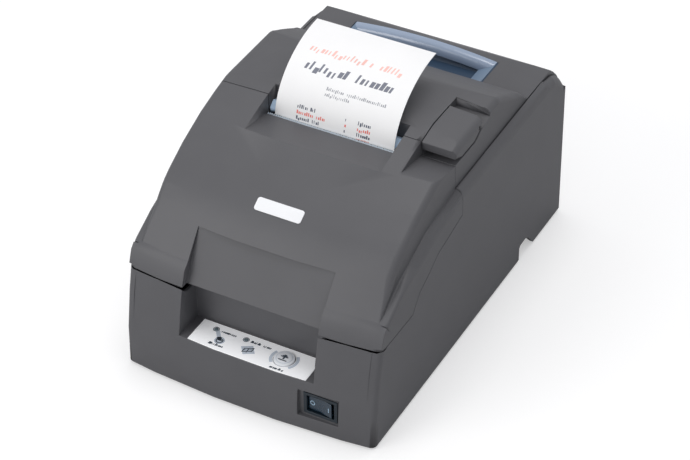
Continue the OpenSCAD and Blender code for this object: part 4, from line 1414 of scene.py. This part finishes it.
@dataclass
class Receipt:
    """The printed paper that stands in the exit.

    Attributes:
        width: paper width.
        length: paper length, from the exit to its free end.
        reach: half axis of the curl, along y.
        rise: half axis of the curl, along z.
        centre: y and z of the curl's middle.
        first: angle at which the paper leaves the exit, in degrees.
        thickness: of the paper.
        grid: number of places along the paper and across it.
        ink: thickness of the print.
        sunk: how far the print starts below the paper's face.
        seed: picks the marks of the print.
        inks: the finish of each piece of print.
        heading: the rows above the list.
        entries: ink, foot and right end of each entry's name in the list.
        sums: ink and foot of each row of numbers in the list.
        columns: left and right end of the two columns of numbers.
        entry_start: left end of the list.
        entry_height: height of the list's marks.
        entry_weight: thickness of their strokes, as a share of the height.
        last_row: foot and height of the row that the exit cuts off.
    """

    width: float = 76.0
    length: float = 67.0
    reach: float = 51.0
    rise: float = 38.5
    centre: Pair = (35.0, 119.0)
    first: float = 5.5
    thickness: float = 0.22
    grid: tuple[int, int] = (90, 24)
    ink: float = 0.03
    sunk: float = 0.02
    seed: int = 11
    inks: tuple[tuple[str, str], ...] = (
        ("print_title", "ink_red"), ("print_head", "ink_black"), ("print_small", "ink_grey"),
        ("print_items", "ink_item"), ("print_items_red", "ink_item_red"))
    heading: tuple[PrintRow, ...] = (
        PrintRow("print_title", -30.0, 28.5, 42.6, 4.2, 0.2, (10, 1, 4), 0.22),
        PrintRow("print_head", -28.0, 28.0, 30.9, 5.4, 0.24, (6, 5), 0.24),
        PrintRow("print_small", -10.0, 28.0, 22.2, 2.0, 0.18, (6, 13)),
        PrintRow("print_small", -10.0, 6.0, 18.9, 2.0, 0.18, (8,)))
    entries: tuple[tuple[str, float, float], ...] = (
        ("print_items", 8.1, -12.0), ("print_items_red", 4.7, -5.5), ("print_items", 1.3, -9.0))
    sums: tuple[tuple[str, float], ...] = (
        ("print_items", 8.6), ("print_items_red", 5.2), ("print_items", 1.9))
    columns: Line = ((6.0, 8.0), (14.0, 22.5))
    entry_start: float = -24.5
    entry_height: float = 2.2
    entry_weight: float = 0.21
    last_row: Pair = (0.1, 0.7)

    def curl(self, along: np.ndarray, inward: np.ndarray | float) -> np.ndarray:
        """Places on the paper's curl, which is part of an ellipse.

        Args:
            along: distance from the exit along the paper.
            inward: depth below the printed face.

        Returns:
            y and z of each place.
        """
        angle = np.radians(np.linspace(self.first, 90, 400))
        y = self.centre[0] - self.reach * np.cos(angle)
        z = self.centre[1] + self.rise * np.sin(angle)
        length = np.concatenate([[0], np.cumsum(np.hypot(np.diff(y), np.diff(z)))])
        turn = np.interp(along, length, angle)
        return np.stack([self.centre[0] - (self.reach - inward) * np.cos(turn),
                         self.centre[1] + (self.rise - inward) * np.sin(turn)], -1)

    def laid(self, marks: Surface) -> Surface:
        """Lays flat marks on the paper's face.

        Args:
            marks: x across the paper, y along it, z from 0 to 1.

        Returns:
            The marks on the curl.
        """
        across, along, up = marks.points.T
        return Surface(np.column_stack([across, self.curl(along, self.sunk - self.ink * up)]), marks.faces)

    def build(self, maker: Maker) -> None:
        """Makes the receipt and its print.

        Args:
            maker: makes the pieces.
        """
        body = maker.home["receipt_paper"]
        sheet = maker.piece("receipt_sheet", self._sheet(), "paper_white", body, smooth=40)
        maker.stands_for(sheet, "receipt_paper")
        marks = Marks(seed=self.seed)
        parts: dict[str, list[Surface]] = {piece: [] for piece, _ in self.inks}
        for row in self._rows():
            parts[row.piece].append(marks.words(row))
        for piece, finish in self.inks:
            maker.piece(piece, self.laid(merged(parts[piece])), finish, body)

    def _sheet(self) -> Surface:
        """The paper: a grid over its printed face, round its edge and back over its rear face.

        Returns:
            The closed sheet.
        """
        rows, columns = self.grid
        along = np.linspace(0, self.length, rows)
        across = np.broadcast_to(np.linspace(-self.width / 2, self.width / 2, columns), (rows, columns))
        face, rear = (
            np.concatenate([across[..., None], np.repeat(self.curl(along, depth)[:, None], columns, 1)], -1)
            for depth in (0.0, self.thickness))
        loop = np.concatenate([face, rear[:, ::-1], face[:, :1]], 1)
        left = np.arange(columns - 1)
        right = 2 * columns - 1 - left
        cap = np.stack([left, left + 1, right - 1, right], -1)
        faces = np.vstack([strip_faces(*loop.shape[:2]), cap, cap[:, ::-1] + (rows - 1) * loop.shape[1]])
        return Surface(loop.reshape(-1, 3), faces)

    def _rows(self) -> list[PrintRow]:
        """All the rows of print, in the order in which their marks are drawn.

        Returns:
            The heading, the list's names, its numbers and the row that the exit cuts off.
        """
        size = (self.entry_height, self.entry_weight)
        names = [PrintRow(piece, self.entry_start, end, base, *size, (7, 4))
                 for piece, base, end in self.entries]
        numbers = [PrintRow(piece, *column, base, *size, (9,)) for piece, base in self.sums
                   for column in self.columns]
        last = PrintRow("print_items_red", *self.columns[-1], *self.last_row, self.entry_weight, (9,))
        return [*self.heading, *names, *numbers, last]


class Mechanism:
    """The moving parts inside, with the paper's bin and guide.

    Attributes:
        PIECES: finish and edge rounding of the inner pieces that show when the covers are open.
    """

    PIECES = {
        "print_head": ("motor_steel", 0.3),
        "carriage": ("dark_plastic", 0.5),
        "ribbon_cassette": ("dark_plastic", 0.6),
        "ribbon_knob": ("dark_plastic", 0.25),
        "feed_motor": ("motor_steel", 0.4),
        "carriage_motor": ("motor_steel", 0.4),
        "cutter_motor": ("motor_steel", 0.4),
        "paper_bin": ("dark_plastic", 0.4),
        "paper_guide": ("dark_plastic", 0.3),
    }

    def build(self, maker: Maker) -> None:
        """Rounds the inner pieces' edges.

        Args:
            maker: makes the pieces.
        """
        for node, (finish, width) in self.PIECES.items():
            maker.dressed(node, finish, width)


# ---------------------------------------------------------------- view


@dataclass(frozen=True)
class View:
    """The camera.

    Attributes:
        azimuth: degrees from the front, towards the right.
        elevation: degrees above level.
        roll: turn about the view's axis, in degrees.
        distance: from the target, in millimetres.
        target: what it looks at, in millimetres.
        lens: focal length, in millimetres.
        sensor: width of the picture plane, in millimetres.
        far: nothing past this is drawn, in metres.
    """

    azimuth: float = 29.09
    elevation: float = 38.54
    roll: float = -0.89
    distance: float = 1388.0
    target: tuple[float, float, float] = (3.0, -10.1, 50.0)
    lens: float = 124.96
    sensor: float = 36.0
    far: float = 20.0

    def place(self) -> None:
        """Puts the camera in the scene."""
        a, e, r = (math.radians(v) for v in (self.azimuth, self.elevation, self.roll))
        back = Vector((math.sin(a) * math.cos(e), -math.cos(a) * math.cos(e), math.sin(e)))
        level = (-back).cross(Vector((0, 0, 1))).normalized()
        above = level.cross(-back)
        right = level * math.cos(r) + above * math.sin(r)
        up = above * math.cos(r) - level * math.sin(r)
        data = bpy.data.cameras.new("camera")
        data.lens = self.lens
        data.sensor_width = self.sensor
        data.clip_end = self.far
        camera = shown("camera", data)
        turn = Matrix((right, up, back)).transposed().to_4x4()
        camera.matrix_world = Matrix.Translation((Vector(self.target) + back * self.distance) * MM) @ turn
        bpy.context.scene.camera = camera


@dataclass(frozen=True)
class Lamp:
    """A soft light.

    Attributes:
        name: the light's name.
        place: where it stands, in metres.
        size: edge of its square, in metres.
        power: in watts.
        color: its colour.
        aim: what it points at, in metres.
    """

    name: str
    place: tuple[float, float, float]
    size: float
    power: float
    color: Color
    aim: tuple[float, float, float] = (0.0, 0.0, 0.06)

    def light(self) -> None:
        """Puts the light in the scene."""
        data = bpy.data.lights.new(self.name, "AREA")
        data.size = self.size
        data.energy = self.power
        data.color = self.color
        item = shown(self.name, data)
        item.location = self.place
        item.rotation_euler = (Vector(self.aim) - Vector(self.place)).to_track_quat("-Z", "Y").to_euler()


@dataclass(frozen=True)
class Studio:
    """Floor, surroundings, lights and camera.

    Attributes:
        floor_half: half the floor's edge, in metres.
        sky: colour of the surroundings.
        sky_strength: how strongly they light the object.
        lamps: the lights.
        view: the camera.
    """

    floor_half: float = 6.0
    sky: Color = (0.955, 0.965, 1.0)
    sky_strength: float = 0.67
    lamps: tuple[Lamp, ...] = (
        Lamp("key", (-0.75, -1.3, 0.82), 0.9, 8.8, (1.0, 0.985, 0.965)),
        Lamp("top", (0.05, 0.25, 1.6), 0.8, 7.6, (1.0, 0.985, 0.97)))
    view: View = View()

    def build(self, maker: Maker) -> None:
        """Sets the stage.

        Args:
            maker: gives the floor's material.
        """
        mesh = bpy.data.meshes.new("floor")
        half = self.floor_half
        corners = [(-half, -half, 0), (half, -half, 0), (half, half, 0), (-half, half, 0)]
        mesh.from_pydata(corners, [], [(0, 1, 2, 3)])
        mesh.materials.append(maker.palette["floor"])
        shown("floor", mesh)
        for lamp in self.lamps:
            lamp.light()
        world = bpy.data.worlds.new("surroundings")
        world.use_nodes = True
        background = world.node_tree.nodes["Background"]
        background.inputs["Color"].default_value = (*self.sky, 1)
        background.inputs["Strength"].default_value = self.sky_strength
        bpy.context.scene.world = world
        bpy.context.scene.view_settings.view_transform = "Standard"
        self.view.place()


def main() -> None:
    """Builds the whole scene."""
    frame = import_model()
    maker = Maker(Palette(FINISHES), frame)
    for assembly in (Casing(), ControlPanel(), PowerSwitch(), Receipt(), Mechanism()):
        assembly.build(maker)
    maker.paint_rest()
    Studio().build(maker)


if __name__ == "__main__":
    main()
